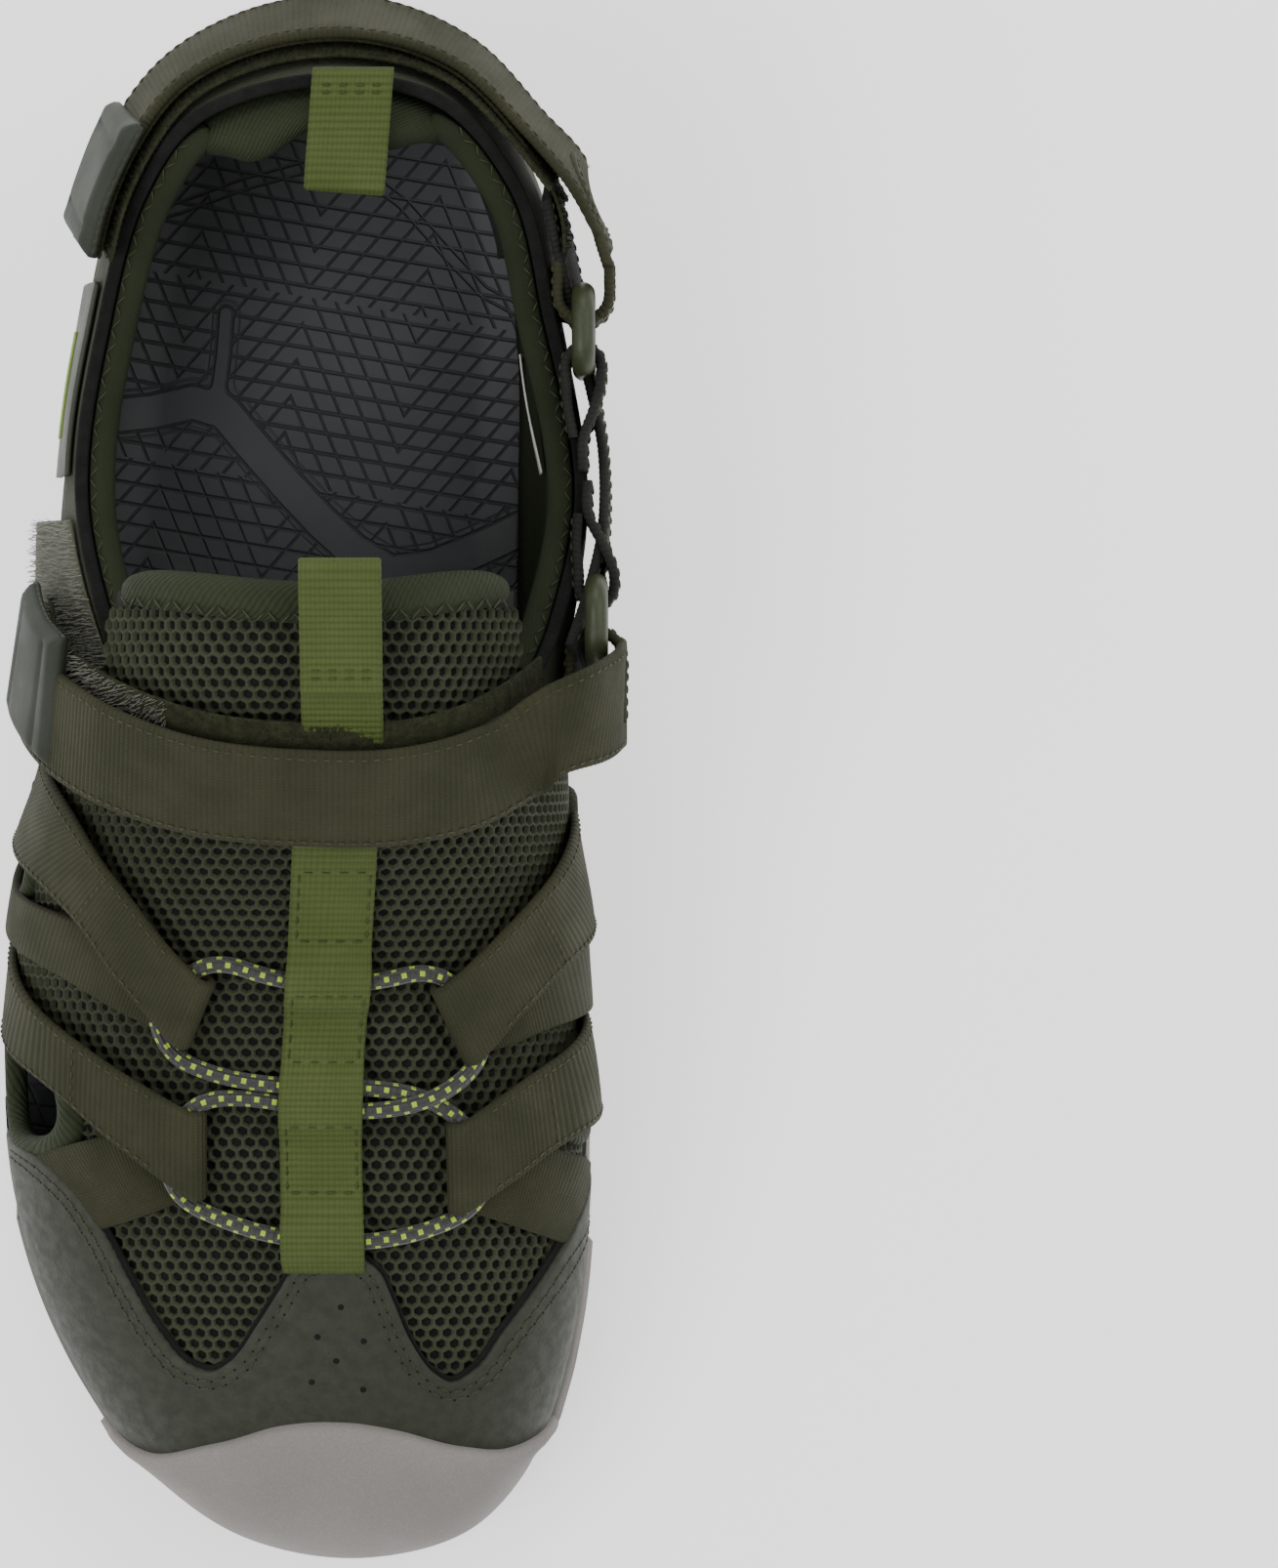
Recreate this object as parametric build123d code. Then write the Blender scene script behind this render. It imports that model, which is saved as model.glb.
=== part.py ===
from build123d import *
import math
import os

import numpy as np

# Strappy sport sandal, right foot, in millimetres.
# +Z is up from the ground, the toe points to -Y and the inner (medial) side is +X.

# Driving dimensions
MESH = 2.0  # air mesh of the vamp and tongue
LAYER_GAP = 0.3  # clear space between one layer of the upper and the next
CAP = 1.6  # synthetic leather of the toe cap
BUMPER = 2.4  # rubber turned up over the toe
WEBBING = 1.8  # strap webbing, one ply
WEBBING_WIDTH = 20.0
TAPE_WIDTH = 14.5  # narrow tape of the centre strip and the pull loops
LACE_DIAMETER = 3.0
OUTSOLE_THICK = 4.5
LUG_DEPTH = 2.6
FOOTBED_THICK = 4.2
BOARD_THICK = 1.5
RING_BAR = 4.2  # diameter of the ring's round bar
RING_WIDE = 17.0
RING_TALL = 30.0
RING_CORNER = 4.4
QUARTER = 2.2  # side wall, outer face on the collar line
LACE_LIFT = MESH + LAYER_GAP + LACE_DIAMETER / 2
BAND_STEP = 8.0  # length of one loft span along a strap
PILE = 0.5  # loop pile inside a strap
PILE_DROP = -1.45  # its middle, from the strap's middle

# Sole outline, anticlockwise from the toe's tip
SOLE_OUTLINE = [
    (14.7, -144.6), (32.8, -139.3), (46.7, -122.3), (52.7, -97), (54.6, -62), (51, -25),
    (47, 5), (45, 35), (46, 70), (46, 98), (41.5, 119), (30, 135.5), (8, 144.5),
    (-13, 137.5), (-26.5, 120), (-33.8, 97), (-38.3, 60), (-43.5, 25), (-50.9, -8),
    (-55.2, -38), (-53.4, -76), (-46, -100), (-32.7, -122.3), (-11, -140.3),
]

# Side profiles of the sole: (y, z)
GROUND_LINE = [(-150, 11), (-138, 6), (-120, 1.6), (-100, 0), (115, 0), (136, 1.6), (150, 5)]
RIM_LINE = [(-150, 28), (-118, 24.5), (-60, 23.5), (0, 26), (60, 29), (150, 31)]
FOOTBED_LINE = [(-150, 23), (-118, 20.5), (-60, 20), (0, 22.8), (60, 26), (150, 28)]

# Arch of the forefoot at stations along Y: base edges, ridge, and how far each side swells
ARCH_Y = [-143, -138, -130, -118, -100, -76, -50, -25, -10, 0, 10, 20, 40]
ARCH_LATERAL = [2, -8, -19.5, -30.5, -41, -48.7, -50.8, -49.5, -46.5, -44.5, -42.5, -41, -38]
ARCH_MEDIAL = [20, 29, 37, 43.2, 47.8, 50, 50, 47.5, 46, 45, 44, 43.5, 43.5]
ARCH_RIDGE_X = [11, 11, 10.5, 10, 9.5, 8.5, 7.5, 8.5, 9.5, 10, 10, 10, 10]
ARCH_RIDGE_Z = [33, 38, 44, 49.5, 55.5, 62.5, 70, 80.5, 89.5, 96, 102, 107, 114]
ARCH_BASE_Z = [27.8, 27.2, 26.2, 25, 24.5, 24.3, 24.5, 25.5, 26, 26.5, 27, 27.5, 28.5]
ARCH_SWELL_M = [0, 0, 0, 0.5, 1.5, 2.5, 2.5, 4, 5, 6, 6.5, 7, 7]
ARCH_SWELL_L = [0, 0, 0, 0, 0, 0, 0, 0.5, 1, 1, 1.5, 2, 2]
ARCH_FULLNESS = 0.87  # below 1 gives squarer shoulders than an ellipse

# Back wall, from the lateral front (-1) round the heel (0) to the medial front (1)
WALL_S = [-1, -0.8, -0.6, -0.4, -0.25, -0.12, 0, 0.12, 0.25, 0.4, 0.6, 0.8, 1]
WALL_FOOT = [
    (-44.5, 2), (-41, 27), (-37, 52), (-33.2, 80), (-29, 104), (-19, 126), (6, 139.5),
    (27.5, 130), (39.5, 107), (42.5, 82), (42, 54), (42, 28), (43.5, 3),
]
WALL_TOP = [
    (-24, 13, 85), (-32, 27, 76), (-38, 52, 68.5), (-34.5, 80, 72), (-26.5, 106, 83),
    (-14, 120.5, 91), (7, 126, 94), (28, 123, 92), (42.5, 108, 83), (49, 84, 71.5),
    (54.6, 54, 69), (50, 29, 75), (42, 12, 86),
]
WALL_SWELL = [8, 5, 1.5, 1, 3, 5.5, 6.5, 5.5, 3, 1, 1, 3.5, 7]


def smooth(at, xs, values):
    """Value at `at` on a smooth line through (xs, values)."""
    xs = np.array(xs, float)
    v = np.array(values, float)
    slope = np.gradient(v, xs, axis=0)
    i = int(np.clip(np.searchsorted(xs, at) - 1, 0, len(xs) - 2))
    h = xs[i + 1] - xs[i]
    u = (at - xs[i]) / h
    a = (1 + 2 * u) * (1 - u) ** 2
    b = u * (1 - u) ** 2
    c = u * u * (3 - 2 * u)
    d = u * u * (u - 1)
    return a * v[i] + b * h * slope[i] + c * v[i + 1] + d * h * slope[i + 1]


def arch_point(y, degrees):
    """Point of the forefoot's base surface; -90 is the lateral foot, 0 the ridge."""
    t = math.radians(degrees)
    medial = degrees > 0
    ridge = smooth(y, ARCH_Y, ARCH_RIDGE_X)
    base = smooth(y, ARCH_Y, ARCH_BASE_Z)
    edge = smooth(y, ARCH_Y, ARCH_MEDIAL if medial else ARCH_LATERAL)
    swell = smooth(y, ARCH_Y, ARCH_SWELL_M if medial else ARCH_SWELL_L)
    rise = max(math.cos(t), 0.0) ** ARCH_FULLNESS
    reach = abs(math.sin(t)) ** ARCH_FULLNESS
    side = 1 if medial else -1
    x = ridge + (edge - ridge) * reach + side * swell * 4 * rise * (1 - rise)
    z = base + (smooth(y, ARCH_Y, ARCH_RIDGE_Z) - base) * rise
    return np.array([x, y, z])


def arch_normal(y, degrees):
    """Outward unit normal of the forefoot's base surface."""
    y = min(max(y, ARCH_Y[0] + 1), ARCH_Y[-1] - 1)
    t = min(max(degrees, -86.0), 86.0)
    across = arch_point(y, t + 2) - arch_point(y, t - 2)
    along = arch_point(y + 1, t) - arch_point(y - 1, t)
    n = np.cross(across, along)
    return n / np.linalg.norm(n)


def on_arch(y, degrees, lift):
    """Point at a height above the forefoot's base surface."""
    return arch_point(y, degrees) + lift * arch_normal(y, degrees)


def arch_section(y, lift, angles):
    """Points of one upright section at y, on the surface that lies `lift` outside the base one."""
    points = []
    for t in angles:
        n = arch_normal(y, t)
        flat = math.hypot(n[0], n[2])
        p = arch_point(y, t) + lift / flat * np.array([n[0], 0, n[2]]) / flat
        points.append(Vector(*p))
    return points


def loaf(lift, front=-139, back=12, skirt=1.0):
    """Solid under the surface that lies `lift` outside the forefoot's base surface.

    skirt is how far the solid goes on below the surface's feet.
    """
    inner = [y for y in ARCH_Y if -138 < y < 10]
    drop = Vector(0, 0, -skirt)
    sections = []
    for y in [front, *inner, back]:
        points = arch_section(y, lift, np.linspace(-90, 90, 17))
        right = points[-1] + drop
        left = points[0] + drop
        edges = [Spline(points), Line(points[-1], right), Line(right, left), Line(left, points[0])]
        sections.append(Wire(edges))
    return Solid.make_loft(sections)


HOLLOW_FRONT = {-139: -2.0, -143: 3.5}  # where the hollow starts, from the shell's own front


def hollow_loaf(inner, outer, front=-139):
    """Shell between two heights above the forefoot's base surface, open at the bottom and back."""
    return loaf(outer, front) - loaf(inner, front + HOLLOW_FRONT[front], 13, 6.0)


def prism(outline, bottom=-20.0, top=160.0, closed_curve=False):
    """Upright solid over a plan outline."""
    points = [Vector(x, y, bottom) for x, y in outline]
    if closed_curve:
        edge = Wire([Edge.make_spline(points, periodic=True)])
    else:
        edge = Wire.make_polygon(points, close=True)
    return Solid.extrude(Face(edge), Vector(0, 0, top - bottom))


def inset(outline, distance):
    """Plan outline moved inwards by a distance; the outline runs anticlockwise."""
    p = np.array(outline, float)
    run = np.roll(p, -1, axis=0) - np.roll(p, 1, axis=0)
    run /= np.linalg.norm(run, axis=1)[:, None]
    inward = np.stack([-run[:, 1], run[:, 0]], axis=1)
    return [tuple(q) for q in p + distance * inward]


def side_slab(lower, lower_shift, upper, upper_shift):
    """Solid between two side profiles, as wide as the sandal and more."""
    low = [Vector(-80, y, z + lower_shift) for y, z in lower]
    high = [Vector(-80, y, z + upper_shift) for y, z in upper]
    wire = Wire.make_polygon([*low, *high[::-1]], close=True)
    return Solid.extrude(Face(wire), Vector(160, 0, 0))


def above_rim():
    """Space above the midsole's rim."""
    return side_slab(RIM_LINE, LAYER_GAP, RIM_LINE, 120)


def largest(shape):
    """The largest solid of a shape, without the crumbs that a cut leaves."""
    return max(shape.solids(), key=lambda solid: solid.volume)


def layer(outline, inner, outer):
    """Piece of a sheet that lies on the forefoot, cut to a plan outline."""
    return largest(hollow_loaf(inner, outer) & (prism(outline) & above_rim()))


def wall_point(s, h):
    """Point of the back wall's outer face; h is 0 at the sole and 1 at the collar line."""
    foot_x, foot_y = smooth(s, WALL_S, WALL_FOOT)
    foot_z = float(np.interp(foot_y, *zip(*RIM_LINE))) + 0.3
    top = smooth(s, WALL_S, WALL_TOP)
    foot = np.array([foot_x, foot_y, foot_z])
    swell = smooth(s, WALL_S, WALL_SWELL) * math.sin(math.pi * min(max(h, 0), 1))
    return foot + (top - foot) * h + swell * wall_out(s)


def wall_out(s):
    """Level outward direction of the back wall."""
    a = smooth(max(s - 0.01, -1), WALL_S, WALL_TOP)[:2] + smooth(max(s - 0.01, -1), WALL_S, WALL_FOOT)
    b = smooth(min(s + 0.01, 1), WALL_S, WALL_TOP)[:2] + smooth(min(s + 0.01, 1), WALL_S, WALL_FOOT)
    run = (b - a) / np.linalg.norm(b - a)
    return np.array([-run[1], run[0], 0.0])


def wall_panel(start, end, low, high, inner, outer):
    """Panel of the back wall between two stations and two heights.

    inner and outer are distances from the outer face, one for each of five heights.
    """
    sections = []
    between = [s for s in np.arange(-0.96, 1, 0.06) if start + 0.02 < s < end - 0.02]
    for s in [start, *between, end]:
        heights = np.linspace(low, high, 5)
        out = wall_out(s)
        inside = [Vector(*(wall_point(s, h) + d * out)) for h, d in zip(heights, inner)]
        outside = [Vector(*(wall_point(s, h) + d * out)) for h, d in zip(heights, outer)]
        sections.append(
            Wire([
                Spline(inside),
                Line(inside[-1], outside[-1]),
                Spline(outside[::-1]),
                Line(outside[0], inside[0]),
            ])
        )
    return Solid.make_loft(sections)


def stations(frames):
    """Evenly spaced (centre, normal, width way) along a band's frames."""
    centres = np.array([frame[0] for frame in frames])
    runs = np.gradient(centres, axis=0)
    widths = [f[2] if len(f) > 2 else np.cross(f[1], run) for f, run in zip(frames, runs)]
    widths = [np.array(w) / np.linalg.norm(w) for w in widths]
    steps = np.linalg.norm(np.diff(centres, axis=0), axis=1)
    along = np.concatenate([[0], np.cumsum(steps)])
    count = max(4, round(along[-1] / BAND_STEP))
    found = []
    for at in np.linspace(0, along[-1], count):
        n = smooth(at, along, [frame[1] for frame in frames])
        n /= np.linalg.norm(n)
        across = smooth(at, along, widths)
        across -= np.dot(across, n) * n
        found.append((smooth(at, along, centres), n, across / np.linalg.norm(across)))
    return found


def band_on(found, width, thick, lift=0.0):
    """Flat band through ready stations, at a distance from their centres."""
    sections = []
    for centre, n, across in found:
        corners = []
        for a, b in [(-1, -1), (1, -1), (1, 1), (-1, 1)]:
            corner = centre + a * width / 2 * across + (lift + b * thick / 2) * n
            corners.append(Vector(*corner))
        sections.append(Wire.make_polygon(corners, close=True))
    return Solid.make_loft(sections)


def band(frames, width, thick):
    """Flat band through (centre, normal) frames; a third value gives the width's direction."""
    return band_on(stations(frames), width, thick)


# ---- Sole ----

LUG_PITCH = 12.5
LUG_GROOVE = 2.6  # width of the grooves between lugs
LUG_SLANT = 14  # degrees that the tread's grooves sweep back
FLAT_TREAD = (-90, 105)  # stretch along Y where the tread is level


def outsole():
    """Rubber tread with lugs, turned up at the toe."""
    body = prism(SOLE_OUTLINE, closed_curve=True)
    body &= side_slab(GROUND_LINE, 0, GROUND_LINE, OUTSOLE_THICK)
    for y in np.arange(-131, 140, LUG_PITCH):
        slant = LUG_SLANT if FLAT_TREAD[0] < y < FLAT_TREAD[1] else 0
        for x, turn in ((-32, slant), (34, -slant)):
            bar = Box(62, LUG_GROOVE, 2 * LUG_DEPTH)
            body -= bar.moved(Location((x, y, ground(y)), (0, 0, turn)))
    return body


def ground(y):
    """Height of the tread's lowest face at y."""
    return float(np.interp(y, *zip(*GROUND_LINE)))


def midsole():
    """Foam midsole with a rim that holds the footbed."""
    body = prism(SOLE_OUTLINE, closed_curve=True)
    body &= side_slab(GROUND_LINE, OUTSOLE_THICK + 0.05, RIM_LINE, 0)
    recess = prism(inset(SOLE_OUTLINE, 6.0), closed_curve=True)
    recess &= side_slab(FOOTBED_LINE, -FOOTBED_THICK - BOARD_THICK - 0.4, RIM_LINE, 20)
    return body - recess


def insole_board():
    """Thin board glued under the footbed."""
    body = prism(inset(SOLE_OUTLINE, 6.4), closed_curve=True)
    top = -FOOTBED_THICK - 0.2
    return body & side_slab(FOOTBED_LINE, top - BOARD_THICK, FOOTBED_LINE, top)


def footbed():
    """Cushioned footbed."""
    body = prism(inset(SOLE_OUTLINE, 6.3), closed_curve=True)
    return body & side_slab(FOOTBED_LINE, -FOOTBED_THICK, FOOTBED_LINE, 0)


# ---- Forefoot ----

CAP_LOWER = [
    (-62, -68), (-50.5, -80), (-43.1, -99.8), (-31.4, -117.7), (-23.7, -123.5), (-12.1, -120.8),
    (-0.5, -117.5), (9.2, -117), (18.4, -118.3), (29.6, -122.1), (37, -123.2), (44, -117),
    (50.5, -103), (53.5, -84), (62, -74),
]
CAP_UPPER = [
    (62, -62), (54.8, -67), (50.8, -75), (46.3, -86.2), (40.9, -95.3), (33.4, -105.6),
    (28.4, -108.6), (24.5, -105), (20.6, -98.5), (16.5, -88), (13.5, -85.3), (4, -85.3),
    (1, -88), (-4, -95.5), (-10, -104.5), (-14.4, -106.6), (-19.7, -102.8), (-27.3, -91.3),
    (-33.4, -79.4), (-41, -70), (-50, -67), (-62, -62),
]
# Side openings in the vamp: plan centre and half length
OPENINGS = {
    "lateral_front_binding": ((-46.5, -53.5), 9.5),
    "lateral_mid_binding": ((-45, -11), 9.0),
    "medial_front_binding": ((51.0, -56), 7.5),
    "medial_mid_binding": ((46.5, -10), 6.5),
}
OPENING_BAND = (33.0, 46.0)  # heights between which the side openings lie
BINDING = 2.4  # thickness of the rolled edge round an opening


def opening_tunnel(name, grow):
    """Rounded tunnel through the side wall for one opening."""
    (x, y), half = OPENINGS[name]
    low, high = OPENING_BAND
    tall = (high - low) / 2 + grow
    slot = extrude(RectangleRounded(2 * (half + grow), 2 * tall, min(half, tall) * 0.8), 14, both=True)
    slot = slot.rotate(Axis.X, 90).rotate(Axis.Z, 90)
    return slot.moved(Location((x, y, (low + high) / 2)))


def vamp_mesh():
    """Air mesh over the forefoot, with an opening under each side web."""
    shell = hollow_loaf(0, MESH) & above_rim()
    for name in OPENINGS:
        shell -= opening_tunnel(name, BINDING + LAYER_GAP)
    return shell


def opening_binding(name):
    """Rolled edge round one side opening."""
    shell = hollow_loaf(-0.5, MESH + 0.4)
    rim = opening_tunnel(name, BINDING) - opening_tunnel(name, 0)
    (x, y), half = OPENINGS[name]
    reach = half + BINDING + 2
    near = Box(40, 2 * reach, 60).moved(Location((x, y, 40)))
    return shell & rim & near


def toe_cap():
    """Peaked overlay over the toes."""
    inner = MESH + LAYER_GAP
    return layer(CAP_LOWER + CAP_UPPER, inner, inner + CAP)


def toe_bumper():
    """Rubber turned up over the toe, thicker than the overlay it meets."""
    front = [(-70, -68), (-70, -160), (70, -160), (70, -74)]
    edge = [(x, y - 0.5) for x, y in CAP_LOWER]
    inner = MESH + LAYER_GAP
    shell = hollow_loaf(inner, inner + BUMPER, -143)
    return shell & (prism(front + edge[::-1]) & above_rim())


LOOPS = {
    "lateral_upper_loop": [
        (-44, 3), (-38.5, -4), (-27.3, -14.5), (-17, -28.5), (-13.2, -32.3), (-18.2, -45),
        (-30.5, -39.5), (-42, -32), (-52, -22.5), (-54.5, -14), (-47, -20.5), (-33.5, -24.5),
        (-39.5, -14), (-46, -3),
    ],
    "lateral_lower_loop": [
        (-47, -36), (-38, -43), (-28.3, -49.5), (-15.5, -57.2), (-15.8, -73.8), (-21, -76.3),
        (-32.5, -79.5), (-45, -68.5), (-36, -63), (-32, -57.5), (-42, -51), (-50, -41),
    ],
    "medial_upper_loop": [
        (51, -3), (45.5, -15.5), (26, -35), (32.4, -48.8), (45, -42.5), (55, -37),
        (56, -28), (47.5, -26.5), (54, -12),
    ],
    "medial_lower_loop": [
        (56, -43), (43.5, -50.5), (29.4, -59.3), (29.8, -76.8), (42, -79.5), (52, -82),
        (57, -72), (44.5, -66), (56, -54),
    ],
}


def web_loop(name):
    """Webbing folded round the lace, lying on the mesh."""
    inner = MESH + LAYER_GAP + 0.2
    loop = layer(LOOPS[name], inner, inner + 3.2) - prism(inset(CAP_LOWER + CAP_UPPER, -0.4))
    for opening in OPENINGS:
        loop -= opening_tunnel(opening, BINDING + LAYER_GAP)
    return largest(loop)


TAPE_LINE = [(9.6, -9), (7.6, -38), (6.3, -60), (6.4, -84.6)]


def centre_tape():
    """Narrow tape down the middle, with tunnels that the lace passes through."""
    half = TAPE_WIDTH / 2
    outline = [(x - half, y) for x, y in TAPE_LINE] + [(x + half, y) for x, y in TAPE_LINE[::-1]]
    inner = MESH + LAYER_GAP
    return layer(outline, inner, inner + 1.4)


# Route of the lace in plan: through the loops and under the tape, crossing itself once
LACE_ROUTE = [
    (-18.9, -38.4, 0), (-16.6, -32.6, 0), (-10.6, -30.3, 0), (-2.3, -33.4, 0), (7, -34.9, 0),
    (16.4, -34.2, 0), (24.6, -31.9, 0), (30.2, -35.6, 0), (33, -41.7, 0), (33.4, -48, 0),
    (29, -52.7, 2.6), (22.8, -56.4, 2.6), (13.6, -58.5, 0), (3.4, -57.4, 0), (-6.4, -55.6, 0),
    (-14.2, -55.8, 0), (-19, -60.8, 0), (-20.9, -67.8, 0), (-18.6, -74, 0), (-12.9, -77.6, 0),
    (-4.6, -80.7, 0), (5, -82.2, 0), (15, -82.4, 0), (24.2, -80.6, 0), (31.8, -76.7, 0),
    (34.6, -70.6, 0), (32.8, -64.2, 0), (29, -58.9, 0), (22.6, -55, 0), (13.8, -53.7, 0),
    (4.4, -53.6, 0), (-5.2, -53, 0), (-13.6, -51, 0), (-20.4, -47, 0), (-21.6, -41.4, 0),
]


def lace_point(x, y, hump):
    """Point of the lace's route on top of the mesh."""
    angles = np.linspace(-75, 75, 151)
    level = [arch_point(y, t) for t in angles]
    t = float(np.interp(x, [p[0] for p in level], angles))
    return Vector(*on_arch(y, t, LACE_LIFT + hump))


def corner_radii(points):
    """Largest tangent arc at each corner of a route."""
    radii = []
    for a, b, c in zip(points, points[1:], points[2:]):
        turn = math.radians((b - a).get_angle(c - b))
        shorter = min((b - a).length, (c - b).length)
        radii.append(0.45 * shorter / math.tan(turn / 2))
    return radii


def bungee_lace():
    """Elastic cord in a figure of eight, joined inside a loop."""
    points = [lace_point(*p) for p in LACE_ROUTE]
    radii = corner_radii(points)
    path = FilletPolyline(*points, radius=radii)
    print("lace length", round(path.length, 1), "smallest radius", round(min(radii), 1))
    section = Plane(path @ 0, z_dir=path % 0) * Circle(LACE_DIAMETER / 2)
    return sweep(section, path=path)


# ---- Back wall ----

WALL_FRONT = 0.92


def quarter(side):
    """Side wall from the instep round to the heel seam."""
    start, end = sorted((side * 0.008, side * WALL_FRONT))
    return wall_panel(start, end, 0, 1, [-QUARTER] * 5, [0] * 5)


def collar_lining(side):
    """Neoprene lining, thick where it rolls over the collar."""
    start, end = sorted((side * 0.16, side * WALL_FRONT))
    outer = [-4.6, -4.6, -4.3, -3.0, -2.8]
    inner = [-5.6, -5.8, -6.4, -7.4, -7.2]
    return wall_panel(start, end, 0.02, 1.0, inner, outer)


def heel_counter():
    """Stiff cup between the heel's wall and its lining."""
    return wall_panel(-0.3, 0.3, 0.02, 0.5, [-4.1] * 5, [-2.7] * 5)


def heel_pad():
    """Two-lobed pad behind the heel."""
    outer = [-3.0] * 5
    inner = [-6.5, -10.5, -11.5, -10.5, -6.5]
    return wall_panel(-0.15, 0.15, 0.56, 0.98, inner, outer)


def side_badge():
    """Small moulded trim on the lateral collar."""
    return wall_panel(-0.62, -0.42, 0.45, 0.92, [0.3] * 5, [1.3] * 5)


def size_label():
    """Blank woven label inside the medial wall."""
    return wall_panel(0.5, 0.64, 0.45, 0.6, [-8.2] * 5, [-7.7] * 5)


# ---- Instep strap ----

PLY_1 = 4.9  # height of the fixed band's middle above the mesh's base
PLY_2 = 8.2  # height of the closing strap's middle
INSTEP_PATH = [
    (-74, 22.5), (-62, 16), (-48, 10.4), (-34, 6.2), (-20, 3.2), (-4, 1.8), (12, 1.8),
    (26, 3.6), (38, 7),
]
INSTEP_RING_X = 56.3
INSTEP_RING_Y = 29.5
INSTEP_RING_Z = 67.0
INSTEP_HINGE = (61.8, 16.5, 70.4)
FOLD_HALF = 8.2  # half the height of the gathered webbing inside a ring
FOLD_RADIUS = 4.6  # middle of the webbing where it turns round a ring's bar


def arch_frames(path, lift):
    """Frames of a band that follows the forefoot at a height."""
    return [(on_arch(y, t, lift), arch_normal(y, t)) for t, y in path]


def instep_strap_stations():
    """Stations of the closing strap from its free end to the ring."""
    x, y, z = INSTEP_HINGE
    frames = arch_frames(INSTEP_PATH, PLY_2)
    frames.append((np.array([x - 10.5, y - 6, z + 24]), (0.62, -0.3, 0.72), (0.2, 0.95, 0.2)))
    frames.append((np.array([x - 3.2, y - 2.6, z + 15]), (0.93, -0.12, 0.35), (0.1, 0.99, 0.05)))
    frames.append((np.array([x - WEBBING / 2, y, z + 0.4]), (1, 0, 0), (0, 1, 0)))
    return stations(frames)


def instep_strap():
    """Closing strap from the ring over the instep to the lateral side."""
    return band_on(instep_strap_stations(), WEBBING_WIDTH, WEBBING)


def instep_strap_lining():
    """Loop pile under the closing strap, short of its ring."""
    return band_on(instep_strap_stations()[1:-7], WEBBING_WIDTH - 3, PILE, PILE_DROP)


def instep_strap_base():
    """Fixed band under the closing strap."""
    path = [*INSTEP_PATH, (50, 12)]
    return band(arch_frames(path, PLY_1), WEBBING_WIDTH - 1, WEBBING)


def instep_hook_patch():
    """Hook fastener along the lateral collar."""
    return wall_panel(-0.82, -0.66, 0.55, 0.98, [0.25] * 5, [1.0] * 5)


def tab(frames):
    """Moulded strap end with a bevelled rim."""
    return band(frames, WEBBING_WIDTH + 3, 2.4)


def instep_tab():
    """Moulded end of the instep strap."""
    return tab(arch_frames([(-76, 23.4), (-68, 18.9), (-58, 14.4)], PLY_2 + 2.7))


def ring(x, y, z):
    """Long ring of round bar with rounded corners, standing on its end, its flat side along Y."""
    half_y = (RING_WIDE - RING_BAR) / 2
    half_z = (RING_TALL - RING_BAR) / 2
    low = Vector(x, y - half_y, z)
    corners = [(-half_y, half_z), (half_y, half_z), (half_y, -half_z), (-half_y, -half_z)]
    points = [low, *[Vector(x, y + a, z + b) for a, b in corners], low]
    path = FilletPolyline(*points[:-1], points[-1] + Vector(0, 0, -0.001), radius=RING_CORNER)
    section = Plane(low, z_dir=(0, 0, 1)) * Circle(RING_BAR / 2)
    return sweep(section, path=path)


def turn_round_bar(x, y, reach, low, high, radius, thick, direction):
    """Webbing folded round an upright bar, open towards +Y or -Y."""
    outer = radius + thick / 2
    inner = radius - thick / 2
    body = Cylinder(outer, high - low).moved(Location((x, y, (low + high) / 2)))
    block = Box(2 * outer, reach, high - low)
    body += block.moved(Location((x, y + direction * reach / 2, (low + high) / 2)))
    hole = Cylinder(inner, high - low + 2).moved(Location((x, y, (low + high) / 2)))
    gap = Box(2 * inner, reach + 1, high - low + 2)
    hole += gap.moved(Location((x, y + direction * (reach + 1) / 2, (low + high) / 2)))
    return body - hole


def instep_strap_fold():
    """Fixed fold of the instep strap through its ring."""
    bar_y = INSTEP_RING_Y - (RING_WIDE - RING_BAR) / 2
    z = INSTEP_RING_Z
    fold = turn_round_bar(INSTEP_RING_X, bar_y, 15, z - FOLD_HALF, z + FOLD_HALF, FOLD_RADIUS, WEBBING, -1)
    above = Box(12, 40, 20).moved(Location((INSTEP_RING_X + 7, bar_y - 5, INSTEP_HINGE[2] + 10)))
    return fold - above


def instep_ring_keeper():
    """Webbing that ties the ring to the medial wall."""
    bar_y = INSTEP_RING_Y + (RING_WIDE - RING_BAR) / 2
    z = INSTEP_RING_Z
    loop = turn_round_bar(INSTEP_RING_X, bar_y, 15, z - FOLD_HALF, z + FOLD_HALF, 3.3, 1.4, 1)
    return loop - quarter_clearance()


def quarter_clearance():
    """Space of the medial wall and a little more."""
    return wall_panel(0.3, WALL_FRONT, -0.02, 1.02, [-QUARTER - 4] * 5, [0.3] * 5)


# ---- Heel strap ----

HEEL_S = [-0.31, -0.26, -0.2, -0.12, -0.04, 0.04, 0.12, 0.2, 0.26]
HEEL_H = [0.9, 0.87, 0.83, 0.79, 0.765, 0.765, 0.79, 0.84, 0.88]
HEEL_PLY_1 = [1.6] * 9  # distance of the fixed band's middle from the wall
HEEL_PLY_2 = [4.6, 4.6, 4.6, 4.6, 4.6, 4.6, 4.8, 6, 9]  # and of the closing strap's
HEEL_RING_X = 54.0
HEEL_RING_Y = 81.9
HEEL_RING_Z = 70.0
HEEL_HINGE = (59.4, 93.0, 72.0)


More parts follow.
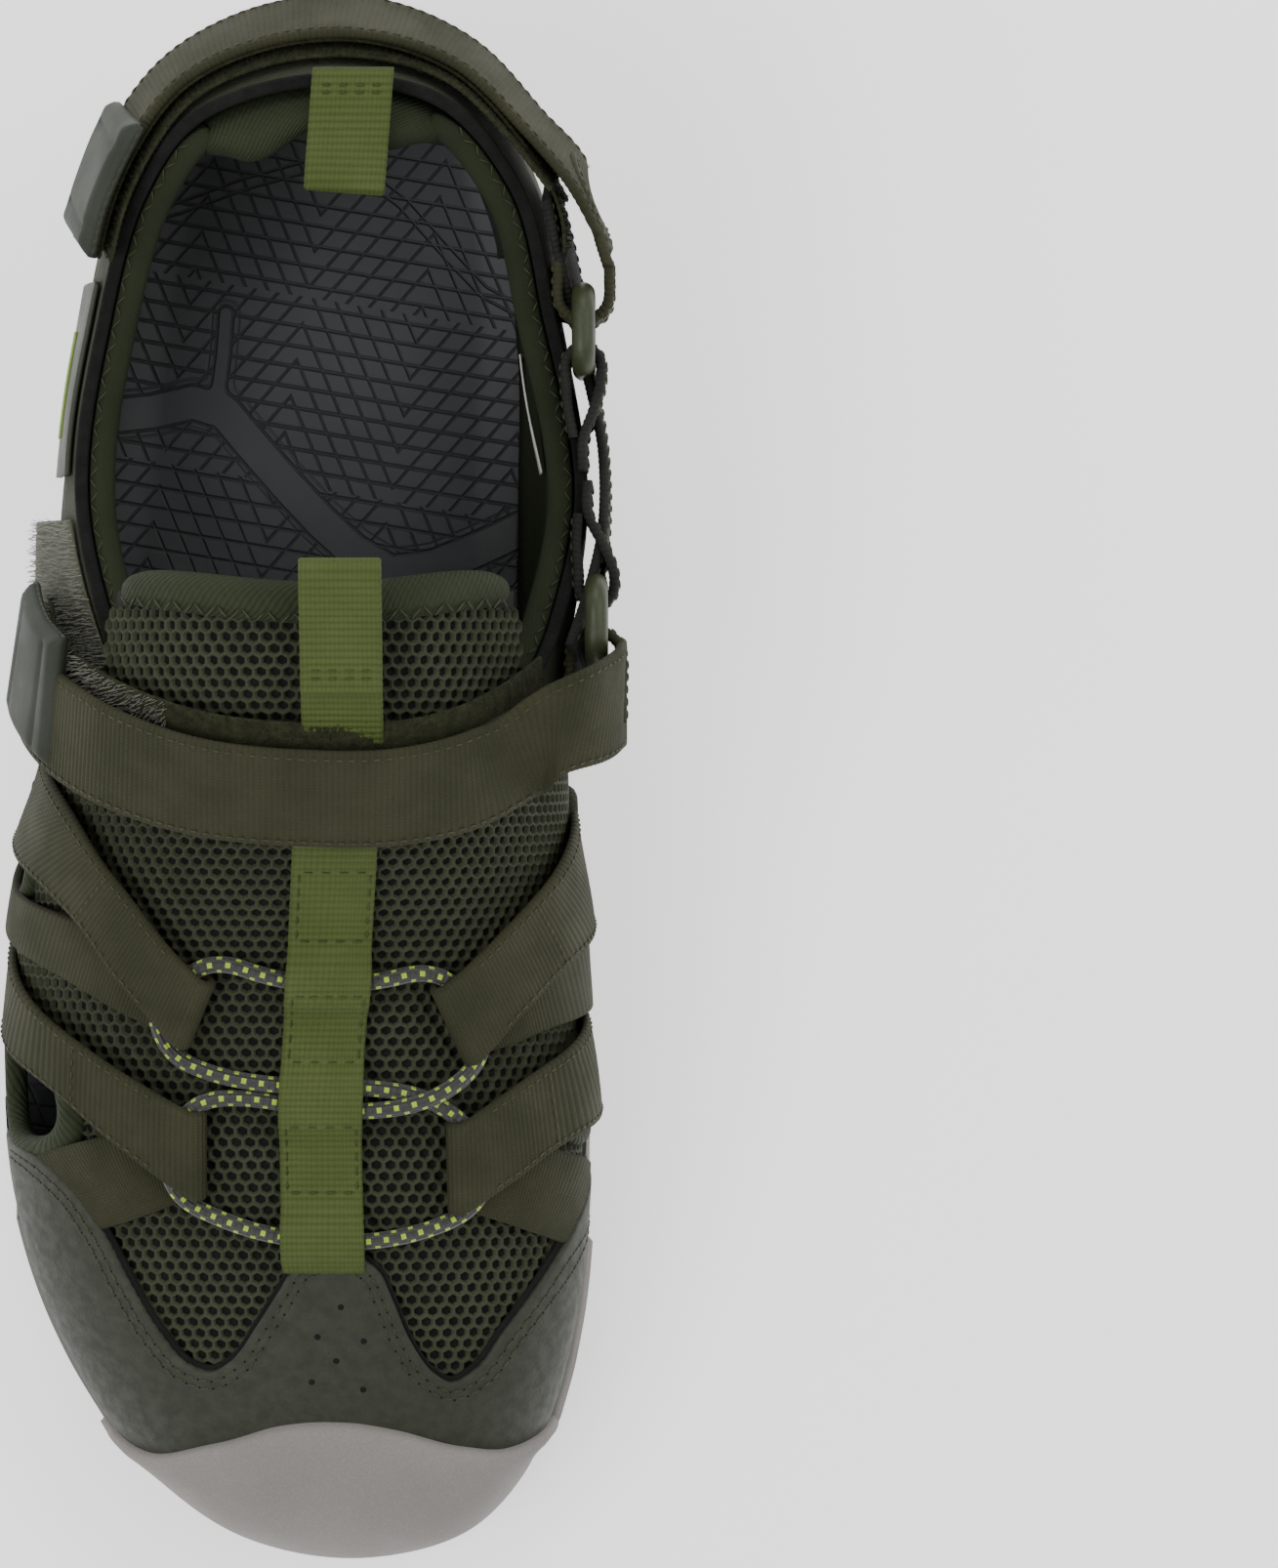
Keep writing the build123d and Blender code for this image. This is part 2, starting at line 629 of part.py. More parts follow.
def wall_frames(stations, heights, lifts):
    """Frames of a band that follows the back wall at a distance."""
    frames = []
    for s, h, lift in zip(stations, heights, lifts):
        up = wall_point(s, h + 0.05) - wall_point(s, h - 0.05)
        run = wall_point(s + 0.01, h) - wall_point(s - 0.01, h)
        n = np.cross(up, run)
        n /= np.linalg.norm(n)
        if np.dot(n, wall_out(s)) < 0:
            n = -n
        frames.append((wall_point(s, h) + lift * n, n))
    return frames


def heel_strap_stations():
    """Stations of the closing strap from its free end to the ring."""
    x, y, z = HEEL_HINGE
    frames = wall_frames(HEEL_S, HEEL_H, HEEL_PLY_2)
    frames.append((np.array([x - 2.6, y + 6, z]), (0.95, 0.3, 0), (0, 0, 1)))
    frames.append((np.array([x - WEBBING / 2, y + 0.5, z]), (1, 0, 0), (0, 0, 1)))
    return stations(frames)


def heel_strap():
    """Closing strap from the medial ring round the heel."""
    return band_on(heel_strap_stations(), WEBBING_WIDTH, WEBBING)


def heel_strap_lining():
    """Loop pile inside the closing heel strap, short of its ring."""
    return band_on(heel_strap_stations()[1:-3], WEBBING_WIDTH - 3, PILE, PILE_DROP)


def heel_strap_base():
    """Fixed band round the heel under the closing strap."""
    return band(wall_frames(HEEL_S, HEEL_H, HEEL_PLY_1), WEBBING_WIDTH - 1, WEBBING)


def heel_tab():
    """Moulded end of the heel strap."""
    return tab(wall_frames([-0.33, -0.25, -0.18], [0.91, 0.865, 0.82], [7.3] * 3))


def heel_strap_fold():
    """Fixed fold of the heel strap through its ring."""
    bar_y = HEEL_RING_Y + (RING_WIDE - RING_BAR) / 2
    z = HEEL_RING_Z
    fold = turn_round_bar(HEEL_RING_X, bar_y, 4.3, z - FOLD_HALF, z + FOLD_HALF, FOLD_RADIUS, WEBBING, 1)
    return largest(fold - quarter_clearance())


def heel_ring_keeper():
    """Webbing that ties the heel ring to the medial wall."""
    bar_y = HEEL_RING_Y - (RING_WIDE - RING_BAR) / 2
    z = HEEL_RING_Z
    loop = turn_round_bar(HEEL_RING_X, bar_y, 13, z - FOLD_HALF, z + FOLD_HALF, 3.3, 1.4, -1)
    return loop - quarter_clearance()


# ---- Tongue and pull loops ----

TONGUE_HINGE = (10, 12, 86)


def tongue_section(y, inner, outer, half):
    """Closed arch-shaped section of the tongue."""
    angles = np.linspace(-half, half, 9)
    low = arch_section(y, inner, angles)
    high = arch_section(y, outer, angles)
    return Wire([Spline(low), Line(low[-1], high[-1]), Spline(high[::-1]), Line(high[0], low[0])])


def tongue_mesh():
    """Upper part of the mesh, free of the collar at both sides."""
    return Solid.make_loft([tongue_section(y, 0, MESH, 45) for y in (16, 20, 26, 31.5)])


def tongue_binding():
    """Rolled neoprene edge of the tongue."""
    return Solid.make_loft([tongue_section(y, -2.2, MESH + 1.4, 45) for y in (31.9, 34.5, 37.5)])


TONGUE_LOOP_SHIFT = 1.7  # from the ridge towards the medial side


def tongue_pull_loop():
    """Tape loop sewn on the tongue, lying back over its edge."""
    start = on_arch(19, 0, MESH + 4.4) + np.array([TONGUE_LOOP_SHIFT, 0, 0])
    end = start + np.array([0, 22.5, 9])
    n = (0, -9, 22.5)
    half = [start, (start + end) / 2, end]
    return band([(c, n) for c in half], TAPE_WIDTH, 3.2)


HEEL_LOOP_ROOT = (12.5, 123.5, 98.6)


def heel_pull_loop():
    """Tape loop sewn on the heel, hanging into the sandal."""
    x, y, z = HEEL_LOOP_ROOT
    end = np.array([x, y - 17.5, z - 4])
    start = np.array([x, y + 1, z + 1])
    n = (0, -5, 18.5)
    return band([(c, n) for c in [start, (start + end) / 2, end]], TAPE_WIDTH, 3.2)


def pieces():
    """Every node with the function that makes it."""
    made = {
        "outsole": outsole,
        "midsole": midsole,
        "insole_board": insole_board,
        "footbed": footbed,
        "toe_bumper": toe_bumper,
        "vamp_mesh": vamp_mesh,
        "toe_cap": toe_cap,
        "centre_tape": centre_tape,
        "bungee_lace": bungee_lace,
        "quarter_lateral": lambda: quarter(-1),
        "quarter_medial": lambda: quarter(1),
        "collar_lining_lateral": lambda: collar_lining(-1),
        "collar_lining_medial": lambda: collar_lining(1),
        "heel_counter": heel_counter,
        "heel_pad": heel_pad,
        "side_badge": side_badge,
        "size_label": size_label,
        "instep_strap_base": instep_strap_base,
        "instep_strap_fold": instep_strap_fold,
        "instep_hook_patch": instep_hook_patch,
        "instep_ring_keeper": instep_ring_keeper,
        "instep_strap": instep_strap,
        "instep_strap_lining": instep_strap_lining,
        "instep_tab": instep_tab,
        "instep_ring": lambda: ring(INSTEP_RING_X, INSTEP_RING_Y, INSTEP_RING_Z),
        "heel_strap_base": heel_strap_base,
        "heel_strap_fold": heel_strap_fold,
        "heel_ring_keeper": heel_ring_keeper,
        "heel_strap": heel_strap,
        "heel_strap_lining": heel_strap_lining,
        "heel_tab": heel_tab,
        "heel_ring": lambda: ring(HEEL_RING_X, HEEL_RING_Y, HEEL_RING_Z),
        "tongue_mesh": tongue_mesh,
        "tongue_binding": tongue_binding,
        "tongue_pull_loop": tongue_pull_loop,
        "heel_pull_loop": heel_pull_loop,
    }
    for name in LOOPS:
        made[name] = lambda name=name: web_loop(name)
    for name in OPENINGS:
        made[name] = lambda name=name: opening_binding(name)
    return made


def main():
    """Makes every piece and writes it to its own file."""
    os.makedirs("parts", exist_ok=True)
    for name, make in pieces().items():
        export_step(make(), f"parts/{name}.step")


if __name__ == "__main__":
    main()
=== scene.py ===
"""Strappy sport sandal, right foot: the looks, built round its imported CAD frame.

Blender works in metres. The surfaces of the upper are the part's own, so their tables are in
millimetres and MM turns the result into metres. +Z is up, the toe points to -Y, +X is medial.
"""

import logging
import math
from dataclasses import dataclass, field
from enum import Enum
from typing import Callable

import bmesh
import bpy
import numpy as np
from mathutils import Matrix, Vector

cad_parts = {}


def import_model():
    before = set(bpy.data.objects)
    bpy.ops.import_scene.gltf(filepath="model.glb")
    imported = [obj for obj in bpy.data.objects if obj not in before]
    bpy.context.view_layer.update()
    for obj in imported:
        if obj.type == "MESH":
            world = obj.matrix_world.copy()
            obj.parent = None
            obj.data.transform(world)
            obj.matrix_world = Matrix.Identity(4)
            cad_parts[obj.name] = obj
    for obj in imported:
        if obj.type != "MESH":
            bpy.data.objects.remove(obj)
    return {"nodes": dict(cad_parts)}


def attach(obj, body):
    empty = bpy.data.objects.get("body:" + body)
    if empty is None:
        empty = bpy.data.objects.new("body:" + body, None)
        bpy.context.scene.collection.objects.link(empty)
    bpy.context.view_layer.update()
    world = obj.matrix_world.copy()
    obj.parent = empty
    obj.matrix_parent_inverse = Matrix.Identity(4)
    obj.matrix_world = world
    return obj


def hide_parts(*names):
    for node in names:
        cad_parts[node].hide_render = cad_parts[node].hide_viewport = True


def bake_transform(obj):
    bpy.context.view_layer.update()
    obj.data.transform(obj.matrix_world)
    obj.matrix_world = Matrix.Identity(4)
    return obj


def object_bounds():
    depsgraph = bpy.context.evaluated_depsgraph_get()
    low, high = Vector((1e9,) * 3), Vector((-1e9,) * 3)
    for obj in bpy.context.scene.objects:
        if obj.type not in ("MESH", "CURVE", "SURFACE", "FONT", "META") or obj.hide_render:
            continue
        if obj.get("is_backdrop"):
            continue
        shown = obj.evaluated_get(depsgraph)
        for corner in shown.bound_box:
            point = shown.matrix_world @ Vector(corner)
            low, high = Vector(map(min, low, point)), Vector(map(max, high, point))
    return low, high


LOG = logging.getLogger("sandal")
MM = 0.001
Array = np.ndarray
Surface = Callable[[Array, Array, Array], Array]
Plan = list[tuple[float, float]]
Piece = bpy.types.Object
Material = bpy.types.Material
Tree = bpy.types.NodeTree
Socket = bpy.types.NodeSocket

MESH = 2.0
WEBBING = 1.8
WEBBING_WIDTH = 20.0
TAPE_WIDTH = 14.5
LACE_DIAMETER = 3.0
LAYER_GAP = 0.3
CAP_LIFT = MESH + LAYER_GAP
LACE_LIFT = CAP_LIFT + LACE_DIAMETER / 2
CAP = 1.6
PLY_1 = 4.9  # middle of the fixed band over the arch
PLY_2 = 8.2  # middle of the strap over it
FOLD_RADIUS = 4.6

SOLE_OUTLINE = [
    (14.7, -144.6), (32.8, -139.3), (46.7, -122.3), (52.7, -97), (54.6, -62), (51, -25),
    (47, 5), (45, 35), (46, 70), (46, 98), (41.5, 119), (30, 135.5), (8, 144.5),
    (-13, 137.5), (-26.5, 120), (-33.8, 97), (-38.3, 60), (-43.5, 25), (-50.9, -8),
    (-55.2, -38), (-53.4, -76), (-46, -100), (-32.7, -122.3), (-11, -140.3),
]
GROUND_LINE = [(-150, 11), (-138, 6), (-120, 1.6), (-100, 0), (115, 0), (136, 1.6), (150, 5)]
RIM_LINE = [(-150, 28), (-118, 24.5), (-60, 23.5), (0, 26), (60, 29), (150, 31)]
FOOTBED_LINE = [(-150, 23), (-118, 20.5), (-60, 20), (0, 22.8), (60, 26), (150, 28)]

ARCH_Y = [-143, -138, -130, -118, -100, -76, -50, -25, -10, 0, 10, 20, 40]
ARCH_LATERAL = [2, -8, -19.5, -30.5, -41, -48.7, -50.8, -49.5, -46.5, -44.5, -42.5, -41, -38]
ARCH_MEDIAL = [20, 29, 37, 43.2, 47.8, 50, 50, 47.5, 46, 45, 44, 43.5, 43.5]
ARCH_RIDGE_X = [11, 11, 10.5, 10, 9.5, 8.5, 7.5, 8.5, 9.5, 10, 10, 10, 10]
ARCH_RIDGE_Z = [33, 38, 44, 49.5, 55.5, 62.5, 70, 80.5, 89.5, 96, 102, 107, 114]
ARCH_BASE_Z = [27.8, 27.2, 26.2, 25, 24.5, 24.3, 24.5, 25.5, 26, 26.5, 27, 27.5, 28.5]
ARCH_SWELL_M = [0, 0, 0, 0.5, 1.5, 2.5, 2.5, 4, 5, 6, 6.5, 7, 7]
ARCH_SWELL_L = [0, 0, 0, 0, 0, 0, 0, 0.5, 1, 1, 1.5, 2, 2]
ARCH_FULLNESS = 0.87

WALL_S = [-1, -0.8, -0.6, -0.4, -0.25, -0.12, 0, 0.12, 0.25, 0.4, 0.6, 0.8, 1]
WALL_FOOT = [
    (-45.5, 2), (-43, 27), (-39.3, 52), (-35.5, 80), (-30.8, 104), (-20, 127.5), (6, 141),
    (28.5, 131.5), (41.5, 108), (45, 82), (45, 54), (45, 28), (45, 3),
]
WALL_TOP = [
    (-24, 13, 85), (-32, 27, 76), (-38, 52, 68.5), (-34.5, 80, 72), (-26.5, 106, 83),
    (-14, 120.5, 91), (7, 126, 94), (28, 123, 92), (42.5, 108, 83), (49, 84, 71.5),
    (54.6, 54, 69), (50, 29, 75), (42, 12, 86),
]
WALL_SWELL = [8, 5.5, 3.4, 3.4, 3.8, 5.5, 6.5, 5.5, 4, 3, 3.5, 4.5, 7]
WALL_FRONT = 0.92


def smooth(at: Array, xs: list, values: list) -> Array:
    """Values on a smooth line through given points.

    Args:
        at: Places along the line.
        xs: Places of the chosen points.
        values: Their values, each a number or a point.

    Returns:
        One value or point for each place.
    """
    xs = np.asarray(xs, float)
    v = np.asarray(values, float)
    slope = np.gradient(v, xs, axis=0)
    at = np.asarray(at, float)
    i = np.clip(np.searchsorted(xs, at) - 1, 0, len(xs) - 2)
    h = xs[i + 1] - xs[i]
    u = (at - xs[i]) / h
    if v.ndim > 1:
        h = h[..., None]
        u = u[..., None]
    a = (1 + 2 * u) * (1 - u) ** 2
    b = u * (1 - u) ** 2
    c = u * u * (3 - 2 * u)
    d = u * u * (u - 1)
    return a * v[i] + b * h * slope[i] + c * v[i + 1] + d * h * slope[i + 1]


def unit(v: Array) -> Array:
    """Vectors at length 1."""
    return v / np.linalg.norm(v, axis=-1, keepdims=True)


def step(x: Array, low: float, high: float) -> Array:
    """Smooth rise from 0 at low to 1 at high."""
    t = np.clip((x - low) / (high - low), 0, 1)
    return t * t * (3 - 2 * t)


def level(y: Array, profile: Plan) -> Array:
    """Height of a side profile at y, in millimetres."""
    return np.interp(y, *zip(*profile))


class Arch:
    """Base surface of the forefoot in millimetres: y along it, degrees across it, 0 on the ridge."""

    FOOT = 90.0

    def __init__(self) -> None:
        """Measures the surface, so that distances across it can be turned into degrees."""
        self.rows = np.linspace(ARCH_Y[0], ARCH_Y[-1], 93)
        self.distances = np.arange(-110.0, 111.0)
        turns = np.linspace(-self.FOOT, self.FOOT, 181)
        table = []
        for y in self.rows:
            p = self.point(np.full_like(turns, y), turns)
            run = np.concatenate([[0], np.cumsum(np.linalg.norm(np.diff(p, axis=0), axis=1))])
            table.append(np.interp(self.distances, run - run[len(turns) // 2], turns))
        self.table = np.array(table)
        ridge = self.point(self.rows, np.zeros_like(self.rows))
        self.ridge_run = np.concatenate([[0], np.cumsum(np.linalg.norm(np.diff(ridge, axis=0), axis=1))])

    def point(self, y: Array, degrees: Array) -> Array:
        """Points of the surface."""
        y, degrees = np.broadcast_arrays(np.asarray(y, float), np.asarray(degrees, float))
        t = np.radians(degrees)
        medial = degrees > 0
        ridge = smooth(y, ARCH_Y, ARCH_RIDGE_X)
        base = smooth(y, ARCH_Y, ARCH_BASE_Z)
        edge = np.where(medial, smooth(y, ARCH_Y, ARCH_MEDIAL), smooth(y, ARCH_Y, ARCH_LATERAL))
        swell = np.where(medial, smooth(y, ARCH_Y, ARCH_SWELL_M), smooth(y, ARCH_Y, ARCH_SWELL_L))
        rise = np.maximum(np.cos(t), 0) ** ARCH_FULLNESS
        reach = np.abs(np.sin(t)) ** ARCH_FULLNESS
        x = ridge + (edge - ridge) * reach + np.where(medial, 4, -4) * swell * rise * (1 - rise)
        z = base + (smooth(y, ARCH_Y, ARCH_RIDGE_Z) - base) * rise
        return np.stack([x, y, z], axis=-1)

    def normal(self, y: Array, degrees: Array) -> Array:
        """Outward normals of the surface."""
        y = np.clip(y, ARCH_Y[0] + 1, ARCH_Y[-1] - 1)
        t = np.clip(degrees, -86, 86)
        across = self.point(y, t + 2) - self.point(y, t - 2)
        along = self.point(y + 1, t) - self.point(y - 1, t)
        return unit(np.cross(across, along))

    def at(self, y: Array, degrees: Array, lift: Array) -> Array:
        """Points at a height above the surface, in metres."""
        lift = np.asarray(lift, float)[..., None]
        return MM * (self.point(y, degrees) + lift * self.normal(y, degrees))

    def degrees(self, x: float, y: float) -> float:
        """Turn at which the surface lies under a plan point; its foot where the point is outside."""
        turns = np.linspace(-self.FOOT, self.FOOT, 361)
        line = np.maximum.accumulate(self.point(np.full_like(turns, y), turns)[:, 0])
        return float(np.interp(x, line, turns))

    def spread(self, u: Array, v: Array) -> tuple[Array, Array]:
        """Turns a flat cut laid on the ridge into places on the surface.

        Args:
            u: Distance across, from the ridge.
            v: Distance along the ridge, from its front.

        Returns:
            y and degrees of each point.
        """
        y = np.interp(v, self.ridge_run, self.rows)
        row = np.interp(y, self.rows, np.arange(len(self.rows)))
        col = np.clip(u - self.distances[0], 0, len(self.distances) - 1.001)
        i = np.minimum(row.astype(int), len(self.rows) - 2)
        j = col.astype(int)
        a = row - i
        b = col - j
        low = self.table[i, j] * (1 - b) + self.table[i, j + 1] * b
        high = self.table[i + 1, j] * (1 - b) + self.table[i + 1, j + 1] * b
        return y, low * (1 - a) + high * a


class Wall:
    """Outer face of the back wall in millimetres: s runs round the heel, h from sole to collar."""

    def out(self, s: Array) -> Array:
        """Level outward directions."""
        spots = [np.clip(s + d, -1, 1) for d in (-0.01, 0.01)]
        a, b = [smooth(q, WALL_S, WALL_TOP)[..., :2] + smooth(q, WALL_S, WALL_FOOT) for q in spots]
        run = unit(b - a)
        return np.stack([-run[..., 1], run[..., 0], np.zeros_like(run[..., 0])], axis=-1)

    def point(self, s: Array, h: Array) -> Array:
        """Points of the outer face."""
        s, h = np.broadcast_arrays(np.asarray(s, float), np.asarray(h, float))
        foot = smooth(s, WALL_S, WALL_FOOT)
        foot = np.concatenate([foot, (level(foot[..., 1], RIM_LINE) + 0.3)[..., None]], axis=-1)
        top = smooth(s, WALL_S, WALL_TOP)
        swell = smooth(s, WALL_S, WALL_SWELL) * np.sin(math.pi * np.clip(h, 0, 1))
        return foot + (top - foot) * h[..., None] + swell[..., None] * self.out(s)

    def at(self, s: Array, h: Array, outward: Array, up: Array = 0.0) -> Array:
        """Points at an outward distance and a height from the face, in metres."""
        s, h, outward, up = np.broadcast_arrays(s, h, outward, up)
        p = self.point(s, h) + outward[..., None] * self.out(s)
        p[..., 2] += up
        return MM * p

    def frames(self, stations: list[float], heights: list[float], lifts: list[float]) -> list[tuple]:
        """Frames of a band that follows the wall at a distance, in millimetres."""
        found = []
        for s, h, lift in zip(stations, heights, lifts):
            up = self.point(s, h + 0.05) - self.point(s, h - 0.05)
            run = self.point(s + 0.01, h) - self.point(s - 0.01, h)
            n = unit(np.cross(up, run))
            if np.dot(n, self.out(s)) < 0:
                n = -n
            found.append((self.point(s, h) + lift * n, n))
        return found


ARCH = Arch()
WALL = Wall()


# ---- Making meshes ----


def finished(bm: bmesh.types.BMesh, name: str, smooth_faces: bool = True) -> Piece:
    """Turns a bmesh into an object at the origin."""
    mesh = bpy.data.meshes.new(name)
    for face in bm.faces:
        face.smooth = smooth_faces
    bm.to_mesh(mesh)
    bm.free()
    piece = bpy.data.objects.new(name, mesh)
    bpy.context.scene.collection.objects.link(piece)
    return piece


def skin(name: str, rows: int, cols: int, place: Callable[[Array, Array], Array],
         wrap: bool = False, ends: bool = False, uv: tuple[float, float] = (1.0, 1.0),
         outward: Callable[[Vector], Vector] | None = None) -> Piece:
    """A grid whose points go where a function puts them.

    Args:
        name: The piece's name.
        rows: Spans along the first way.
        cols: Spans along the second way.
        place: Gives positions in metres for two arrays from 0 to 1.
        wrap: Whether the second way closes on itself.
        ends: Whether the open ends of the first way are closed.
        uv: Size of the grid in metres, for its UV map.
        outward: For an open grid, gives a way out at a point of it.

    Returns:
        The piece.
    """
    bm = bmesh.new()
    layer = bm.loops.layers.uv.new("UVMap")
    bmesh.ops.create_grid(bm, x_segments=rows, y_segments=cols, size=0.5)
    flat = np.array([v.co for v in bm.verts])[:, :2] + 0.5
    for face in bm.faces:
        for loop in face.loops:
            co = loop.vert.co
            loop[layer].uv = ((co.x + 0.5) * uv[0], (co.y + 0.5) * uv[1])
    for vert, spot in zip(bm.verts, place(flat[:, 0], flat[:, 1])):
        vert.co = spot
    if wrap:
        bmesh.ops.remove_doubles(bm, verts=bm.verts, dist=2e-6)
    if ends:
        border = [e for e in bm.edges if e.is_boundary]
        bmesh.ops.holes_fill(bm, edges=border)
    bmesh.ops.recalc_face_normals(bm, faces=bm.faces)
    if outward:
        face = list(bm.faces)[len(bm.faces) // 2]
        if face.normal.dot(outward(face.calc_center_median())) < 0:
            bmesh.ops.reverse_faces(bm, faces=bm.faces)
    return finished(bm, name)


def band_section(thick: float, width: float, across: int) -> Array:
    """Closed cross-section of a band with round edges: (share of half width, height in mm)."""
    edge = thick / width
    top = [(x, thick / 2) for x in np.linspace(-1 + edge, 1 - edge, across)]
    turns = np.radians([60, 20, -20, -60])
    right = [(1 - edge + edge * math.cos(t), thick / 2 * math.sin(t)) for t in turns]
    bottom = [(-x, -z) for x, z in top]
    left = [(-x, -z) for x, z in right]
    return np.array([*top, *right, *bottom, *left])


@dataclass
class Strip:
    """A flat band of textile carried by a surface function at(along, across, height in mm)."""

    at: Surface
    length: float
    width: float
    thick: float
    rib_pitch: float = 1.05
    rib_depth: float = 0.14
    spans_per_rib: int = 4
    across: int = 9

    def mesh(self, name: str) -> Piece:
        """The band with its woven ribs, as a closed mesh."""
        section = band_section(self.thick, self.width, self.across)
        count = len(section)
        spans = max(8, int(self.length / self.rib_pitch * self.spans_per_rib))

        def place(u: Array, v: Array) -> Array:
            """Spots of the ribbed band for a grid."""
            k = np.rint(v * count).astype(int) % count
            x = section[k, 0]
            z = section[k, 1]
            wave = np.abs(np.sin(math.pi * u * self.length / self.rib_pitch)) - 0.5
            z = z + np.sign(z) * (np.abs(z) > 0.45 * self.thick) * self.rib_depth * wave
            x = x * (1 + 0.012 * wave)
            return self.at(u, x, z)

        size = (self.length * MM, 2 * self.width * MM)
        return skin(name, spans, count, place, wrap=True, ends=True, uv=size)

    def line(self, across: float, start: float = 0.02, end: float = 0.98,
             height: float = 0.1) -> tuple[Array, Array]:
        """Points and normals of a line along the band's top, for stitches."""
        u = np.linspace(start, end, max(16, int(self.length)))
        x = np.full_like(u, across)
        z = np.full_like(u, self.thick / 2 + height)
        return self.at(u, x, z), unit(self.at(u, x, z + 1) - self.at(u, x, z))

    def bar(self, along: float, reach: float = 0.85, height: float = 0.1) -> tuple[Array, Array]:
        """Points and normals of a line across the band's top, for stitches."""
        x = np.linspace(-reach, reach, 24)
        u = np.full_like(x, along)
        z = np.full_like(u, self.thick / 2 + height)
        return self.at(u, x, z), unit(self.at(u, x, z + 1) - self.at(u, x, z))


def carried(frames: list[tuple], width: float) -> tuple[Surface, float]:
    """Surface function of a band through (centre, normal[, width way]) frames, and its length."""
    centres = np.array([f[0] for f in frames], float)
    runs = np.gradient(centres, axis=0)
    normals = unit(np.array([f[1] for f in frames], float))
    ways = [f[2] if len(f) > 2 else np.cross(f[1], run) for f, run in zip(frames, runs)]
    ways = unit(np.array(ways, float))
    along = np.concatenate([[0], np.cumsum(np.linalg.norm(np.diff(centres, axis=0), axis=1))])

    def at(u: Array, x: Array, z: Array) -> Array:
        """Spots on the band's surface."""
        s = u * along[-1]
        n = unit(smooth(s, along, normals))
        across = smooth(s, along, ways)
        across = unit(across - np.sum(across * n, axis=-1, keepdims=True) * n)
        return MM * (smooth(s, along, centres) + (x * width / 2)[..., None] * across + z[..., None] * n)

    return at, float(along[-1])


def edge_line(points: Plan) -> Callable[[Array], Array]:
    """Smooth (degrees, y) line through plan points on the forefoot."""
    turned = np.array([(ARCH.degrees(x, y), y) for x, y in points])
    along = np.concatenate([[0], np.cumsum(np.linalg.norm(np.diff(np.array(points), axis=0), axis=1))])
    along /= along[-1]
    return lambda u: smooth(u, along, turned)


def ruled(edge_a: Plan, edge_b: Plan, lift: float) -> tuple[Surface, float]:
    """Surface function of a patch between two edges on the forefoot, and its length."""
    a = edge_line(edge_a)
    b = edge_line(edge_b)

    def at(u: Array, x: Array, z: Array) -> Array:
        """Spots between the two edges."""
        w = ((x + 1) / 2)[..., None]
        spot = a(u) * (1 - w) + b(u) * w
        return ARCH.at(spot[..., 1], np.clip(spot[..., 0], -90, 90), lift + z)

    u = np.linspace(0, 1, 60)
    middle = at(u, np.zeros_like(u), np.zeros_like(u))
    return at, float(np.linalg.norm(np.diff(middle, axis=0), axis=1).sum() / MM)


def resampled(points: Array, normals: Array, pitch: float) -> tuple[Array, Array, Array]:
    """Evenly spaced points, runs and normals along a line, in metres."""
    run = np.concatenate([[0], np.cumsum(np.linalg.norm(np.diff(points, axis=0), axis=1))])
    count = max(2, int(run[-1] / pitch))
    at = (np.arange(count) + 0.5) / count * run[-1]
    spots = np.stack([np.interp(at, run, points[:, i]) for i in range(3)], axis=-1)
    ahead = np.stack([np.interp(at + 2e-4, run, points[:, i]) for i in range(3)], axis=-1)
    behind = np.stack([np.interp(at - 2e-4, run, points[:, i]) for i in range(3)], axis=-1)
    ways = np.stack([np.interp(at, run, normals[:, i]) for i in range(3)], axis=-1)
    return spots, unit(ahead - behind), unit(ways)


class Seam(Enum):
    """How a row of stitches runs."""

    STRAIGHT = 0.0
    ZIGZAG = 1.0


def stitches(name: str, lines: list[tuple[Array, Array]], pitch: float = 2.4, share: float = 0.72,
             radius: float = 0.2, seam: Seam = Seam.STRAIGHT, reach: float = 1.4) -> Piece:
    """Rows of sewn stitches, each a small spindle of thread.

    Args:
        name: The piece's name.
        lines: Points and normals of each row, in metres.
        pitch: From one stitch to the next, in millimetres.
        share: Share of the pitch that a stitch covers.
        radius: Of the thread, in millimetres.
        seam: Straight or zigzag.
        reach: Half width of a zigzag, in millimetres.

    Returns:
        The piece.
    """
    bm = bmesh.new()
    for points, normals in lines:
        spots, runs, ways = resampled(points, normals, pitch * MM)
        for i, (spot, run, n) in enumerate(zip(spots, runs, ways)):
            side = np.cross(n, run)
            if seam is Seam.ZIGZAG:
                turn = 1 if i % 2 else -1
                run = unit(run * pitch + side * turn * 2 * reach)
                side = np.cross(n, run)
                half = math.hypot(pitch, 2 * reach) / 2 * MM
            else:
                half = pitch * share / 2 * MM
            turned = Matrix((run * half, side * radius * MM, n * radius * MM)).transposed().to_4x4()
            turned.translation = Vector(spot)
            bmesh.ops.create_icosphere(bm, subdivisions=1, radius=1.0, matrix=turned)
    return finished(bm, name)


def punched(name: str, lines: list[tuple[Array, Array]], pitch: float, radius: float = 0.3) -> Piece:
    """Needle holes between the stitches of some rows, as small black dimples painted for the shade in each
    hole.
    """
    bm = bmesh.new()
    for points, normals in lines:
        spots, runs, ways = resampled(points, normals, pitch * MM)
        for spot, run, n in zip(spots + runs * pitch / 2 * MM, runs, ways):
            side = np.cross(n, run)
            size = radius * MM
            turned = Matrix((run * size, side * size, n * size / 2)).transposed().to_4x4()
            turned.translation = Vector(spot - n * size * 0.3)
            bmesh.ops.create_icosphere(bm, subdivisions=1, radius=1.0, matrix=turned)
    return finished(bm, name)


